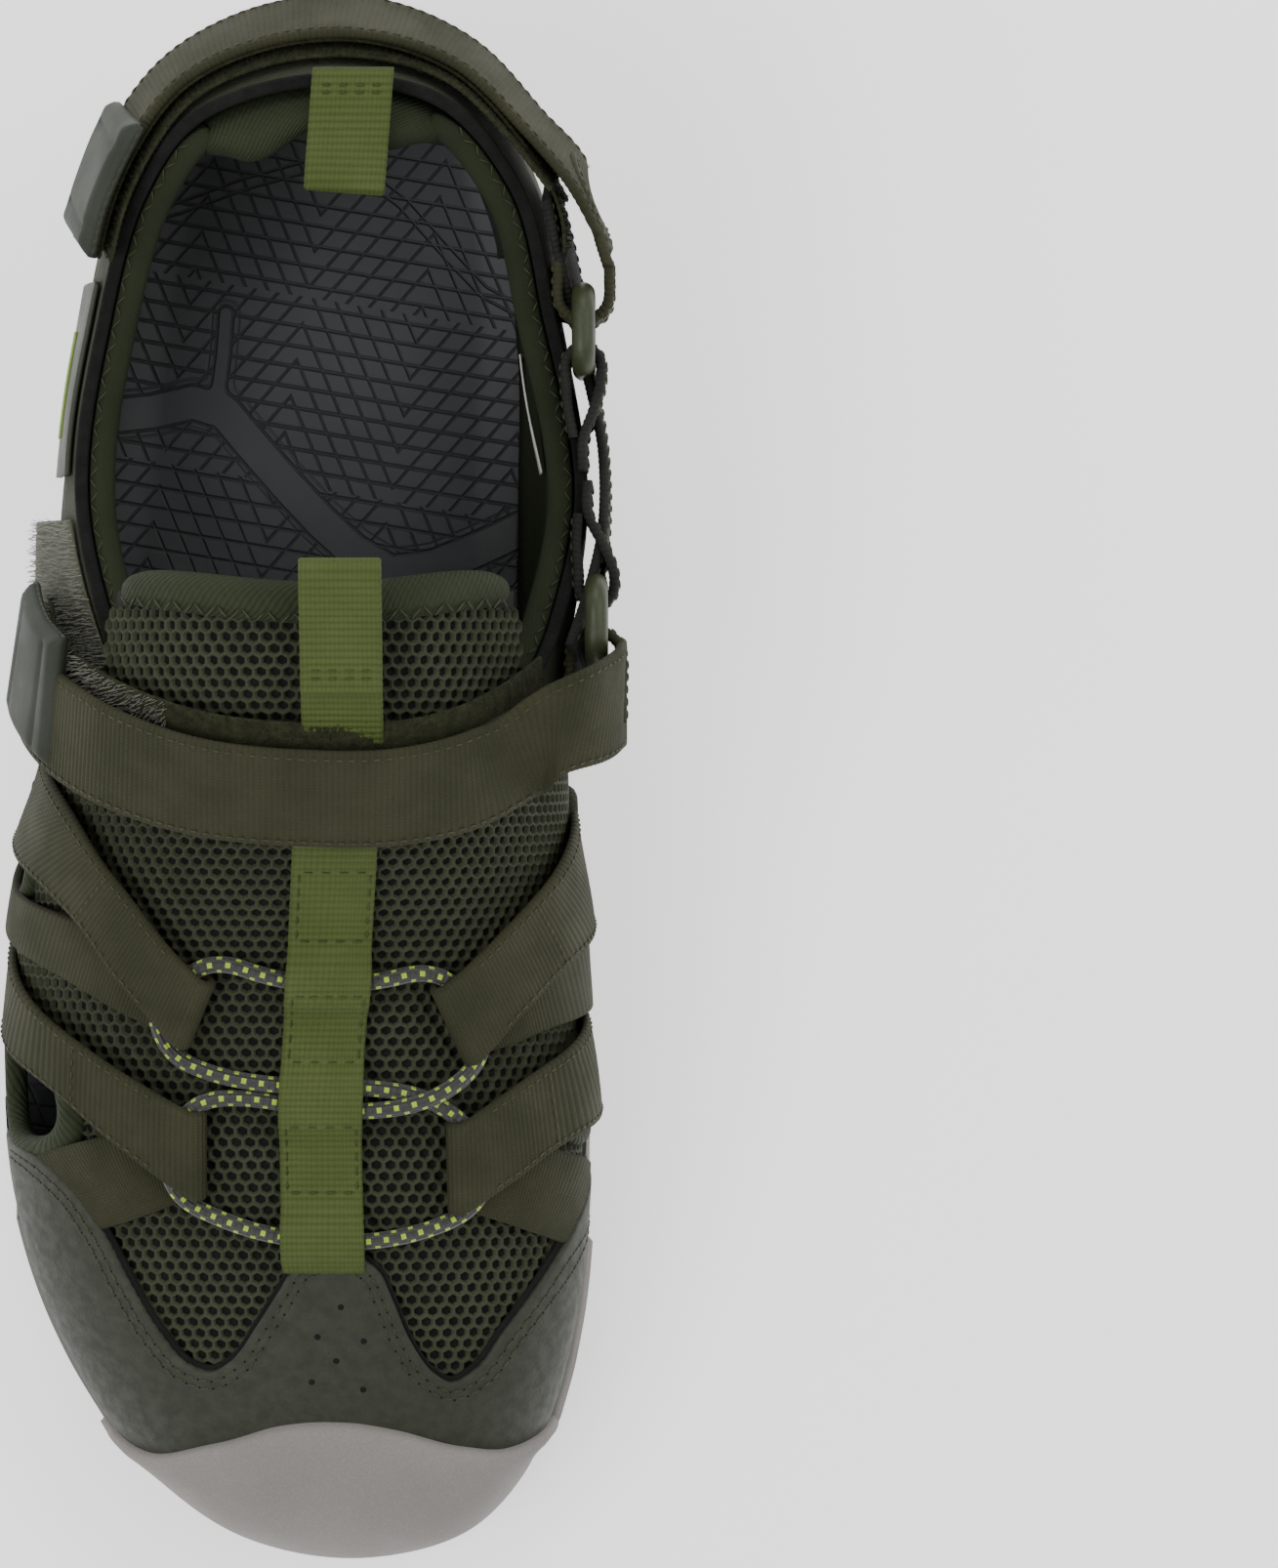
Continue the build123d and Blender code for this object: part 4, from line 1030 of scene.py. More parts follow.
@dataclass
class Sole:
    """Midsole, footbed and the rubber turned up over the toe."""

    # Profile of the midsole's rim: (inset, share of the height), going round the section
    profile: Plan = field(default_factory=lambda: [
        (2.0, 0.0), (0.5, 0.005), (0.1, 0.05), (0.0, 0.16), (0.1, 0.3), (0.4, 0.38), (1.0, 0.41),
        (0.6, 0.44), (0.6, 0.52), (0.9, 0.66), (1.3, 0.8), (1.6, 0.9), (2.0, 0.96), (2.5, 0.99),
        (3.0, 0.98), (3.3, 0.94), (3.4, 0.86), (3.4, 0.75), (3.4, 0.6), (3.4, 0.05), (3.0, 0.0),
    ])
    outsole_thick: float = 4.55
    footbed_inset: float = 3.6
    toe_inset: float = 1.7
    # Smooth raised band across the arch, with a spur towards the heel
    arch_band: Plan = field(default_factory=lambda: [
        (-36, 68.5), (-27, 69.5), (-19.5, 71.3), (-13.5, 69.5), (-8.5, 63.5), (-2, 56), (4.5, 49),
        (10.5, 43.5), (17.5, 39.3), (26, 40.5), (34, 43.8), (42, 47.5),
    ])
    spur: Plan = field(default_factory=lambda: [(-13.2, 88), (-13.8, 80), (-15, 71)])
    heel_line: Plan = field(default_factory=lambda: [
        (-30, 105), (-22, 107.5), (-10, 112), (3, 115.6), (12, 114.5), (20, 108.5), (28, 99.5),
        (35, 92), (44, 87),
    ])
    toe_foot: Plan = field(default_factory=lambda: [
        (-53.4, -76), (-46, -100), (-32.7, -122.3), (-11, -140.3), (14.7, -144.6), (32.8, -139.3),
        (46.7, -122.3), (52.7, -97), (54.4, -78),
    ])
    toe_edge: Plan = field(default_factory=lambda: [
        (-51.5, -80), (-43.1, -99.8), (-31.4, -117.7), (-23.7, -122.5), (-12.1, -120.8), (-0.5, -117.5),
        (9.2, -117), (18.4, -118.3), (29.6, -121.6), (37, -122.2), (44, -117), (50.5, -103), (53, -84),
    ])

    def build(self, wardrobe: Wardrobe) -> None:
        """Makes and dresses the sole."""
        wardrobe.dress(self.midsole(), "shoe", "grey_foam", replaces=("midsole",))
        wardrobe.dress(self.footbed(), "shoe", "footbed_foam", replaces=("footbed",))
        wardrobe.dress(self.bumper(), "shoe", "grey_rubber", replaces=("toe_bumper",))

    def midsole(self) -> Piece:
        """Foam sidewall with a parting groove and a rounded rim."""
        profile = np.array(self.profile)
        count = len(profile)

        def place(u: Array, v: Array) -> Array:
            """Spots of the midsole surface for a grid."""
            k = np.rint(v * count).astype(int) % count
            spot = outline_inset(u, profile[k, 0])
            y = spot[:, 1]
            low = level(y, GROUND_LINE) + self.outsole_thick
            z = low + (level(y, RIM_LINE) - low) * profile[k, 1]
            return MM * np.stack([spot[:, 0], y, z], axis=-1)

        return skin("midsole_rim", 260, count, place, wrap=True)

    def near(self, x: Array, y: Array, line: Plan) -> Array:
        """Distance of points from a line of short runs."""
        found = np.full_like(x, 1e3)
        for (ax, ay), (bx, by) in zip(line, line[1:]):
            reach = (bx - ax) ** 2 + (by - ay) ** 2
            share = np.clip(((x - ax) * (bx - ax) + (y - ay) * (by - ay)) / reach, 0, 1)
            found = np.minimum(found, np.hypot(x - ax - share * (bx - ax), y - ay - share * (by - ay)))
        return found

    def measure(self, piece: Piece, name: str, spots: Array, line: Plan) -> None:
        """Stores each point's distance from a line, in millimetres, for the footbed's finish."""
        layer = piece.data.attributes.new(name, "FLOAT", "POINT")
        layer.data.foreach_set("value", self.near(spots[:, 0], spots[:, 1], line).astype(np.float32))

    def footbed(self) -> Piece:
        """Footbed with its border turned up; its pattern is in its finish."""
        across = 150
        ring = outline_inset(np.linspace(0, 1, 721), np.full(721, self.footbed_inset))
        front, back = ring[:, 1].min() + 0.2, ring[:, 1].max() - 0.2
        ring = np.roll(ring[:-1], -int(np.argmin(ring[:-1, 1])), axis=0)
        heel = int(np.argmax(ring[:, 1]))
        medial = ring[:heel + 1]
        lateral = np.vstack([ring[heel:], ring[:1]])[::-1]

        def place(u: Array, v: Array) -> Array:
            """Spots of the footbed surface for a grid."""
            turned = np.cos(math.pi * (0.04 + 0.92 * u))
            y = (front + back) / 2 - (back - front) / 2 * turned / math.cos(0.04 * math.pi)
            left = np.interp(y, lateral[:, 1], lateral[:, 0])
            right = np.interp(y, medial[:, 1], medial[:, 0])
            x = left + (right - left) * v
            edge = np.minimum(x - left, right - x)
            z = level(y, FOOTBED_LINE) + 1.6 * (1 - step(edge, 0, 9)) - 1.0
            return MM * np.stack([x, y, z], axis=-1)

        piece = skin("footbed_top", 420, across, place, outward=lambda p: Vector((0, 0, 1)))
        spots = np.array([v.co for v in piece.data.vertices]) / MM
        self.measure(piece, "band", spots, self.arch_band)
        self.measure(piece, "spur", spots, self.spur)
        self.measure(piece, "heel_line", spots, self.heel_line)
        body = piece.modifiers.new("thickness", "SOLIDIFY")
        body.thickness = 2.4 * MM
        body.offset = -1
        return piece

    def bumper(self) -> Piece:
        """Rubber turned up over the toe, from the overlay's lower edge to the sole's rim."""
        foot = np.array(offset_line(self.toe_foot, self.toe_inset))
        top = edge_line(self.toe_edge)
        chord = np.concatenate([[0], np.cumsum(np.linalg.norm(np.diff(foot, axis=0), axis=1))])
        lift = CAP_LIFT + 2.4
        lip = 5

        def place(u: Array, v: Array) -> Array:
            """Spots of the bumper surface for a grid."""
            spot = top(u)
            start = ARCH.at(spot[:, 1], spot[:, 0], np.full_like(u, lift)) / MM
            n = ARCH.normal(spot[:, 1], spot[:, 0])
            end = smooth(u, list(chord / chord[-1]), foot)
            end = np.column_stack([end, level(end[:, 1], RIM_LINE) - 0.5])
            phi = np.clip((v * 26 - lip) / 18, 0, 1) * math.pi / 2
            share = np.sin(phi)[:, None] ** 1.15
            fall = np.cos(phi)[:, None] ** 0.85
            plan = start[:, :2] + (end[:, :2] - start[:, :2]) * share
            z = end[:, 2:] + (start[:, 2:] - end[:, 2:]) * fall
            p = np.column_stack([plan, z])
            turn = np.clip(1 - v * 26 / lip, 0, 1)[:, None] * math.pi / 2
            drop = n * (lift - CAP_LIFT + 0.5) * (1 - np.cos(turn))
            p = p - drop + (start - end) * [1, 1, 0] / 40 * np.sin(turn)
            below = np.clip((v * 26 - lip - 18) / 3, 0, 1)
            p[:, 2] -= 5.0 * below
            out = unit((end - start)[:, :2])
            p[:, :2] += out * (0.45 * np.sin(np.clip(below, 0, 1) * math.pi))[:, None]
            return MM * p

        piece = skin("toe_bumper_shell", 150, 26, place, outward=lambda p: Vector((0, -0.5, 1)))
        body = piece.modifiers.new("thickness", "SOLIDIFY")
        body.thickness = 1.2 * MM
        body.offset = -1
        return piece


# ---- Forefoot ----


def plan_seam(points: Plan, lift: float, start: float = 0.02, end: float = 0.98) -> tuple[Array, Array]:
    """Points and normals of a line laid on the forefoot over a plan line."""
    u = np.linspace(start, end, 160)
    spot = edge_line(points)(u)
    return ARCH.at(spot[:, 1], spot[:, 0], np.full_like(u, lift)), ARCH.normal(spot[:, 1], spot[:, 0])


@dataclass(frozen=True)
class Opening:
    """A side opening of the vamp: its place along the foot, half length and side."""

    node: str
    y: float
    half: float
    side: int
    middle: float = 39.5
    tall: float = 6.5

    def turn(self, y: Array, z: Array) -> Array:
        """Degrees on the forefoot at a height."""
        base = smooth(y, ARCH_Y, ARCH_BASE_Z)
        rise = (z - base) / (smooth(y, ARCH_Y, ARCH_RIDGE_Z) - base)
        return self.side * np.degrees(np.arccos(np.clip(rise, 0, 1) ** (1 / ARCH_FULLNESS)))

    def covers(self, turn: Array, y: Array, grow: float = 0.0) -> Array:
        """Whether places on the forefoot lie in the opening."""
        z = ARCH.point(y, turn)[..., 2]
        a = np.abs(y - self.y) / (self.half + grow)
        b = np.abs(z - self.middle) / (self.tall + grow)
        return (a ** 3 + b ** 3 < 1) & (np.sign(turn) == self.side)


OPENINGS = [
    Opening("lateral_front_binding", -55.0, 10.5, -1, 43.0, 9.0),
    Opening("lateral_mid_binding", -11.0, 9.0, -1, 42.0, 8.0),
    Opening("medial_front_binding", -56.0, 7.5, 1),
    Opening("medial_mid_binding", -10.0, 6.5, 1),
]


@dataclass
class Fold:
    """Webbing that runs up to the lace, folds round it and runs back under itself."""

    node: str
    over: tuple[Plan, Plan]
    under: tuple[Plan, Plan]
    inner_lift: float = 3.3
    rise: float = 1.7
    spread: float = 1.0

    def strip(self) -> Strip:
        """The whole folded webbing as one strip."""
        over = [edge_line(e) for e in self.over]
        under = [edge_line(e) for e in self.under]
        turn_start = 0.465
        turn_end = 1 - turn_start
        middle = self.inner_lift + self.rise
        foot = ARCH.at(*[np.array([e(np.array(1.0))[i] for e in over]) for i in (1, 0)],
                       np.array([middle] * 2)) / MM
        heart = ARCH.at(*[np.array([e(np.array(0.7))[i] for e in over]) for i in (1, 0)],
                        np.array([middle] * 2)) / MM
        ahead = unit(foot.mean(axis=0) - heart.mean(axis=0))
        along_fold = unit(foot[1] - foot[0])
        ahead = unit(ahead - np.dot(ahead, along_fold) * along_fold)

        def leg(edges: list, share: Array, x: Array, lift: Array) -> Array:
            """Spots on one leg of the folded webbing."""
            w = ((x + 1) / 2)[..., None]
            spot = edges[0](share) * (1 - w) + edges[1](share) * w
            return ARCH.at(spot[..., 1], np.clip(spot[..., 0], -90, 90), lift)

        def at(u: Array, x: Array, z: Array) -> Array:
            """Spots on the folded webbing."""
            out = np.clip(u / turn_start, 0, 1)
            back = np.clip((1 - u) / (1 - turn_end), 0, 1)
            opened = self.rise * self.spread
            near = step(out, 0.45, 1.0)
            sunk = 4.2 * (1 - step(out, 0.0, 0.5))
            top = leg(over, out, x, middle + z + 1.0 + (opened - 1.0) * near - sunk)
            near = step(back, 0.45, 1.0)
            sunk = 1.2 * (1 - step(back, 0.0, 0.4))
            low = leg(under, 1 - back, x, middle - z - 1.0 - (opened - 1.0) * near - sunk)
            phi = np.clip((u - turn_start) / (turn_end - turn_start), 0, 1) * math.pi
            w = ((x + 1) / 2)[..., None]
            line = foot[0] * (1 - w) + foot[1] * w
            n = ARCH.normal(np.full_like(u, line[..., 1].mean()), np.full_like(u, over[0](np.array(1.0))[0]))
            size = (opened + z)[..., None]
            bend = MM * (line + size * (np.cos(phi)[..., None] * n + np.sin(phi)[..., None] * ahead))
            found = np.where((u < turn_start)[..., None], top, bend)
            return np.where((u > turn_end)[..., None], low, found)

        u = np.linspace(0, 1, 120)
        line = at(u, np.zeros_like(u), np.zeros_like(u))
        length = float(np.linalg.norm(np.diff(line, axis=0), axis=1).sum() / MM)
        return Strip(at, length, 18.0, 1.5, spans_per_rib=5)


FOLDS = [
    Fold("lateral_upper_loop",
         ([(-44, 9), (-37, -2), (-27.3, -14.5), (-17, -28.5), (-13.2, -32.8)],
          [(-56, 3), (-48, -8), (-39, -18.5), (-27, -34), (-18.2, -45.4)]),
         ([(-13.2, -32.8), (-24, -28), (-36, -23.5), (-47, -19.5), (-56, -13)],
          [(-18.2, -45.4), (-29, -40), (-39, -34), (-49, -27.5), (-58, -22)])),
    Fold("lateral_lower_loop",
         ([(-55, -26), (-47, -35), (-38, -43), (-28, -50), (-15.6, -57.6)],
          [(-60, -38), (-50, -46), (-41, -53.5), (-30, -63), (-15.8, -74)]),
         ([(-15.6, -57.6), (-24, -60.5), (-31, -63), (-38, -65.3), (-45, -68)],
          [(-15.8, -74), (-20, -75.8), (-24.5, -77.6), (-29, -79.4), (-33.2, -81)])),
    Fold("medial_upper_loop",
         ([(51, 2), (46, -12), (37, -23), (31, -29.5), (26.4, -34)],
          [(60, -12), (54, -23), (46, -32), (39, -40), (32.2, -48.6)]),
         ([(26.4, -34), (36, -32), (44, -29.5), (52, -26), (60, -20)],
          [(32.2, -48.6), (39, -46.5), (45, -44), (52, -40.5), (60, -36)])),
    Fold("medial_lower_loop",
         ([(58, -38), (50, -44), (43, -50), (36, -55), (29.4, -60)],
          [(62, -52), (54, -59), (46, -65), (38, -71), (29.8, -76.8)]),
         ([(29.4, -60), (36, -62.2), (42, -64.6), (48, -67.6), (54, -71)],
          [(29.8, -76.8), (34, -78.1), (38.5, -79.9), (43, -82), (47.3, -84.2)])),
]

LACE_ROUTE = [
    (-18.9, -38.4, 0.9), (-16.6, -32.6, 0.9), (-10.6, -30.3, 0), (-2.3, -33.4, 0), (7, -34.9, 0),
    (16.4, -34.2, 0), (24.6, -31.9, 0.3), (30.2, -35.6, 0.9), (33, -41.7, 0.9), (33.4, -48, 0.9),
    (29, -52.7, 2.6), (22.8, -56.4, 2.6), (13.6, -58.5, 0), (3.4, -57.4, 0), (-6.4, -55.6, 0),
    (-14.2, -55.8, 0.9), (-19, -60.8, 0.9), (-20.9, -67.8, 0.9), (-18.6, -74, 0.9), (-12.9, -77.6, 0),
    (-4.6, -80.7, 0), (5, -82.2, 0), (15, -82.4, 0), (24.2, -80.6, 0), (31.8, -76.7, 0.9),
    (34.6, -70.6, 0.9), (32.8, -64.2, 0.9), (29, -58.9, 0.6), (22.6, -55, 0), (13.8, -53.7, 0),
    (4.4, -53.6, 0), (-5.2, -53, 0), (-13.6, -51, 0.3), (-20.4, -47, 0.9), (-21.6, -41.4, 0.9),
]


@dataclass
class Forefoot:
    """Mesh, overlay, web loops, centre tape and lace over the toes and instep."""

    net_lift: float = 2.0
    cap_lower: Plan = field(default_factory=lambda: [
        (-62, -72), (-52.5, -80), (-44.5, -99.8), (-33, -118), (-24, -124.5), (-12.1, -122.3),
        (-0.5, -119), (9.2, -118.5), (18.4, -119.8), (29.6, -123.6), (38, -124), (45, -118), (52, -103),
        (55, -84), (62, -76),
    ])
    cap_upper: Plan = field(default_factory=lambda: [
        (-62, -58), (-53, -64), (-44, -68), (-38, -73), (-33.4, -79.4), (-27.3, -91.3), (-22.5, -99.5),
        (-17.5, -105.2), (-13.5, -106.4), (-9.5, -104), (-5.5, -98), (-1.5, -91.5), (1.2, -87.3),
        (4.6, -85.3),
        (9, -84.9), (13, -85.3), (16.2, -87.7), (18.6, -93), (21.5, -100.5), (25, -106.3), (28.6, -108.6),
        (32.5, -106.5), (37.5, -99.5), (42.5, -92.5), (46.5, -86), (50.8, -76), (55, -69), (62, -64),
    ])
    tape_line: Plan = field(default_factory=lambda: [(9.8, -6), (7.6, -38), (6.3, -60), (6.6, -88)])
    tunnels: tuple[tuple[float, float], ...] = ((-34.6, 5.0), (-56.2, 6.5), (-82.0, 5.0))
    boxes: tuple[tuple[float, float], ...] = ((-15.5, -28.0), (-38.0, -50.0), (-62.0, -74.0))
    holes: Plan = field(default_factory=lambda: [
        (9.6, -94.3), (5.4, -99.8), (13.6, -100.6), (8.7, -104.3), (4.3, -108.2), (13.4, -109.6),
    ])

    def build(self, wardrobe: Wardrobe) -> None:
        """Makes and dresses the forefoot."""
        self.vamp(wardrobe)
        self.cap(wardrobe)
        self.tape(wardrobe)
        self.loops(wardrobe)
        self.lace(wardrobe)

    def open_at(self, turn: Array, y: Array, grow: float) -> Array:
        """Whether places lie in any side opening."""
        found = np.zeros(np.shape(y), bool)
        for opening in OPENINGS:
            found |= opening.covers(turn, y, grow)
        return found

    def vamp(self, wardrobe: Wardrobe) -> None:
        """The air mesh, its lining and the rolled edges of its openings."""

        def keep(turn: Array, y: Array) -> Array:
            """Which cells of the vamp net stay."""
            return (np.abs(turn) < 89) & (y > -112) & (y < 9) & ~self.open_at(turn, y, 0.6)

        net = hex_net("vamp_net", 92, 34, 196, keep, self.net_lift)

        def place(u: Array, v: Array) -> Array:
            """Spots of the vamp's lining for a grid."""
            return ARCH.at(-137 + 148 * u, -90 + 180 * v, np.full_like(u, 0.4))

        lining = skin("vamp_lining_sheet", 130, 120, place, outward=lambda p: Vector((0, 0, 1)))
        self.cut(lining)
        wardrobe.dress(lining, "shoe", "vamp_lining", replaces=("vamp_mesh",))
        wardrobe.dress(net, "shoe", "net_thread", "net_spacer_shade")
        for opening in OPENINGS:
            wardrobe.dress(self.roll(opening), "shoe", "soft_neoprene", replaces=(opening.node,))

    def cut(self, sheet: Piece) -> None:
        """Cuts the side openings out of the lining."""
        bm = bmesh.new()
        bm.from_mesh(sheet.data)
        layer = bm.loops.layers.uv.active
        spots = np.array([sum((loop[layer].uv for loop in f.loops),
                              Vector((0, 0))) / len(f.loops) for f in bm.faces])
        gone = self.open_at(-90 + 180 * spots[:, 1], -137 + 148 * spots[:, 0], 0.6)
        bmesh.ops.delete(bm, geom=[f for f, cut in zip(bm.faces[:], gone) if cut], context="FACES")
        bm.to_mesh(sheet.data)
        bm.free()

    def roll(self, opening: Opening) -> Piece:
        """Rolled neoprene round one opening."""
        around = 14

        def place(u: Array, v: Array) -> Array:
            """Spots of the opening's rolled binding for a grid."""
            turn = 2 * math.pi * u
            c, s = np.cos(turn), np.sin(turn)
            grow = 1.2 + 2.1 * np.cos(2 * math.pi * v)
            y = opening.y + (opening.half + grow) * np.sign(c) * np.abs(c) ** 0.7
            z = opening.middle + (opening.tall + grow) * np.sign(s) * np.abs(s) ** 0.7
            return ARCH.at(y, opening.turn(y, z), 1.6 + 2.1 * np.sin(2 * math.pi * v))

        piece = skin(f"{opening.node}_roll", 72, around, place, wrap=True, uv=(0.06, 0.012))
        return self.closed(piece)

    def closed(self, piece: Piece) -> Piece:
        """Joins the seam of a ring."""
        bm = bmesh.new()
        bm.from_mesh(piece.data)
        bmesh.ops.remove_doubles(bm, verts=bm.verts[:], dist=1e-5)
        bmesh.ops.recalc_face_normals(bm, faces=bm.faces[:])
        bm.to_mesh(piece.data)
        bm.free()
        return piece

    def cap(self, wardrobe: Wardrobe) -> None:
        """Peaked leather overlay, its felt edge, seams and breathing holes."""
        surface, length = ruled(self.cap_lower, self.cap_upper, CAP_LIFT + CAP / 2)
        overlay = Strip(surface, length, 30, CAP, rib_pitch=2.0, rib_depth=0.0, spans_per_rib=3, across=26)
        wardrobe.dress(overlay.mesh("toe_overlay"), "shoe", "mottled_leather", replaces=("toe_cap",))
        edge, length = ruled(offset_line(self.cap_upper, -2.0), offset_line(self.cap_upper, 0.75),
                             CAP_LIFT + 0.15)
        felt = Strip(edge, length, 4, 0.9, rib_pitch=1.5, rib_depth=0.06, across=4)
        wardrobe.dress(felt.mesh("toe_overlay_felt"), "shoe", "black_felt_and_hole_shade")
        seams = [offset_line(self.cap_upper, -d) for d in (1.7, 3.1)]
        rows = [plan_seam(seam, CAP_LIFT + CAP + 0.05, 0.08, 0.93) for seam in seams]
        wardrobe.dress(stitches("toe_overlay_stitches", rows, pitch=2.6, radius=0.2), "shoe", "dark_thread")
        # Black dimples: painted shade in the needle holes.
        wardrobe.dress(punched("toe_overlay_needle_holes", rows, 2.6), "shoe", "black_felt_and_hole_shade")
        self.breathing_holes(wardrobe)

    def breathing_holes(self, wardrobe: Wardrobe) -> None:
        """Small punched holes in the overlay's peak, as black discs painted for the shade in each hole."""
        bm = bmesh.new()
        for x, y in self.holes:
            turn = ARCH.degrees(x, y)
            spot = ARCH.at(np.array(y), np.array(turn), np.array(CAP_LIFT + CAP - 0.1))
            n = Vector(ARCH.normal(np.array(y), np.array(turn)))
            place = n.to_track_quat("Z", "Y").to_matrix().to_4x4()
            place.translation = Vector(spot)
            bmesh.ops.create_cone(bm, cap_ends=True, segments=14, radius1=0.75 * MM, radius2=0.55 * MM,
                                  depth=0.34 * MM, matrix=place)
        # Black discs: painted shade in the punched holes.
        wardrobe.dress(finished(bm, "toe_overlay_holes"), "shoe", "black_felt_and_hole_shade")

    def tape_lift(self, y: Array) -> Array:
        """Height of the centre tape: it rises over the lace."""
        lift = np.full_like(y, 3.2)
        for middle, half in self.tunnels:
            lift = lift + 2.9 * np.exp(-((y - middle) / half) ** 4)
        return lift

    def tape(self, wardrobe: Wardrobe) -> None:
        """Ribbed centre tape with box seams between its tunnels."""
        half = TAPE_WIDTH / 2
        left = [(x - half, y) for x, y in self.tape_line]
        right = [(x + half, y) for x, y in self.tape_line]
        a, b = edge_line(left), edge_line(right)

        def at(u: Array, x: Array, z: Array) -> Array:
            """Spots on the centre tape."""
            w = ((x + 1) / 2)[..., None]
            spot = a(u) * (1 - w) + b(u) * w
            return ARCH.at(spot[..., 1], spot[..., 0], self.tape_lift(spot[..., 1]) + z)

        u = np.linspace(0, 1, 200)
        line = at(u, u * 0, u * 0)
        run = np.concatenate([[0], np.cumsum(np.linalg.norm(np.diff(line, axis=0), axis=1))]) / MM
        strip = Strip(at, float(run[-1]), TAPE_WIDTH, 1.1, rib_pitch=1.35, rib_depth=0.2)
        wardrobe.dress(strip.mesh("centre_tape_band"), "shoe", "green_tape", replaces=("centre_tape",))
        rows = []
        for top, low in self.boxes:
            ends = np.interp([-top, -low], -line[:, 1] / MM, u)
            rows += [strip.line(side, ends[0], ends[1], 0.15) for side in (-0.82, 0.82)]
            rows += [strip.bar(end, 0.82, 0.15) for end in ends]
        wardrobe.dress(stitches("centre_tape_stitches", rows, pitch=2.6, radius=0.2), "shoe", "green_thread")

    def loops(self, wardrobe: Wardrobe) -> None:
        """The four folded web loops and their seams."""
        for fold in FOLDS:
            strip = fold.strip()
            wardrobe.dress(strip.mesh(f"{fold.node}_webbing"), "shoe", "woven_webbing", replaces=(fold.node,))
            rows = [strip.line(side, 0.03, 0.4, 0.12) for side in (-0.84, 0.84)]
            rows.append(strip.bar(0.255, 0.9, 0.12))
            wardrobe.dress(stitches(f"{fold.node}_stitches", rows, pitch=2.1), "shoe", "olive_thread")

    def lace(self, wardrobe: Wardrobe) -> None:
        """The bungee lace, a sheath swept along one smooth spline."""
        spots = []
        for x, y, hump in LACE_ROUTE:
            turn = ARCH.degrees(x, y)
            spots.append(ARCH.at(np.array(y), np.array(turn), np.array(LACE_LIFT + hump)))
        curve = bpy.data.curves.new("lace_line", "CURVE")
        curve.dimensions = "3D"
        spline = curve.splines.new("NURBS")
        spline.points.add(len(spots) - 1)
        for point, spot in zip(spline.points, spots):
            point.co = (*spot, 1.0)
        spline.order_u = 3
        spline.use_endpoint_u = True
        spline.resolution_u = 12
        holder = bpy.data.objects.new("lace_line", curve)
        line = bpy.data.meshes.new_from_object(holder)
        path = np.array([v.co for v in line.vertices])
        bpy.data.objects.remove(holder)
        run = np.concatenate([[0], np.cumsum(np.linalg.norm(np.diff(path, axis=0), axis=1))])
        tangents = unit(np.gradient(path, axis=0))
        up = np.array([0.0, 0.0, 1.0])
        sides = unit(np.cross(tangents, up))
        radius = LACE_DIAMETER / 2 * MM

        def place(u: Array, v: Array) -> Array:
            """Spots of the lace surface for a grid."""
            at = u * run[-1]
            centre = np.stack([np.interp(at, run, path[:, i]) for i in range(3)], axis=-1)
            side = unit(np.stack([np.interp(at, run, sides[:, i]) for i in range(3)], axis=-1))
            tangent = unit(np.stack([np.interp(at, run, tangents[:, i]) for i in range(3)], axis=-1))
            top = np.cross(side, tangent)
            turn = 2 * math.pi * v[:, None]
            return centre + radius * (np.cos(turn) * side + np.sin(turn) * top)

        piece = skin("bungee_lace_sheath", 620, 14, place, wrap=True, ends=True, uv=(float(run[-1]), 1.0))
        wardrobe.dress(piece, "shoe", "braided_sheath", replaces=("bungee_lace",))


# ---- Back wall ----


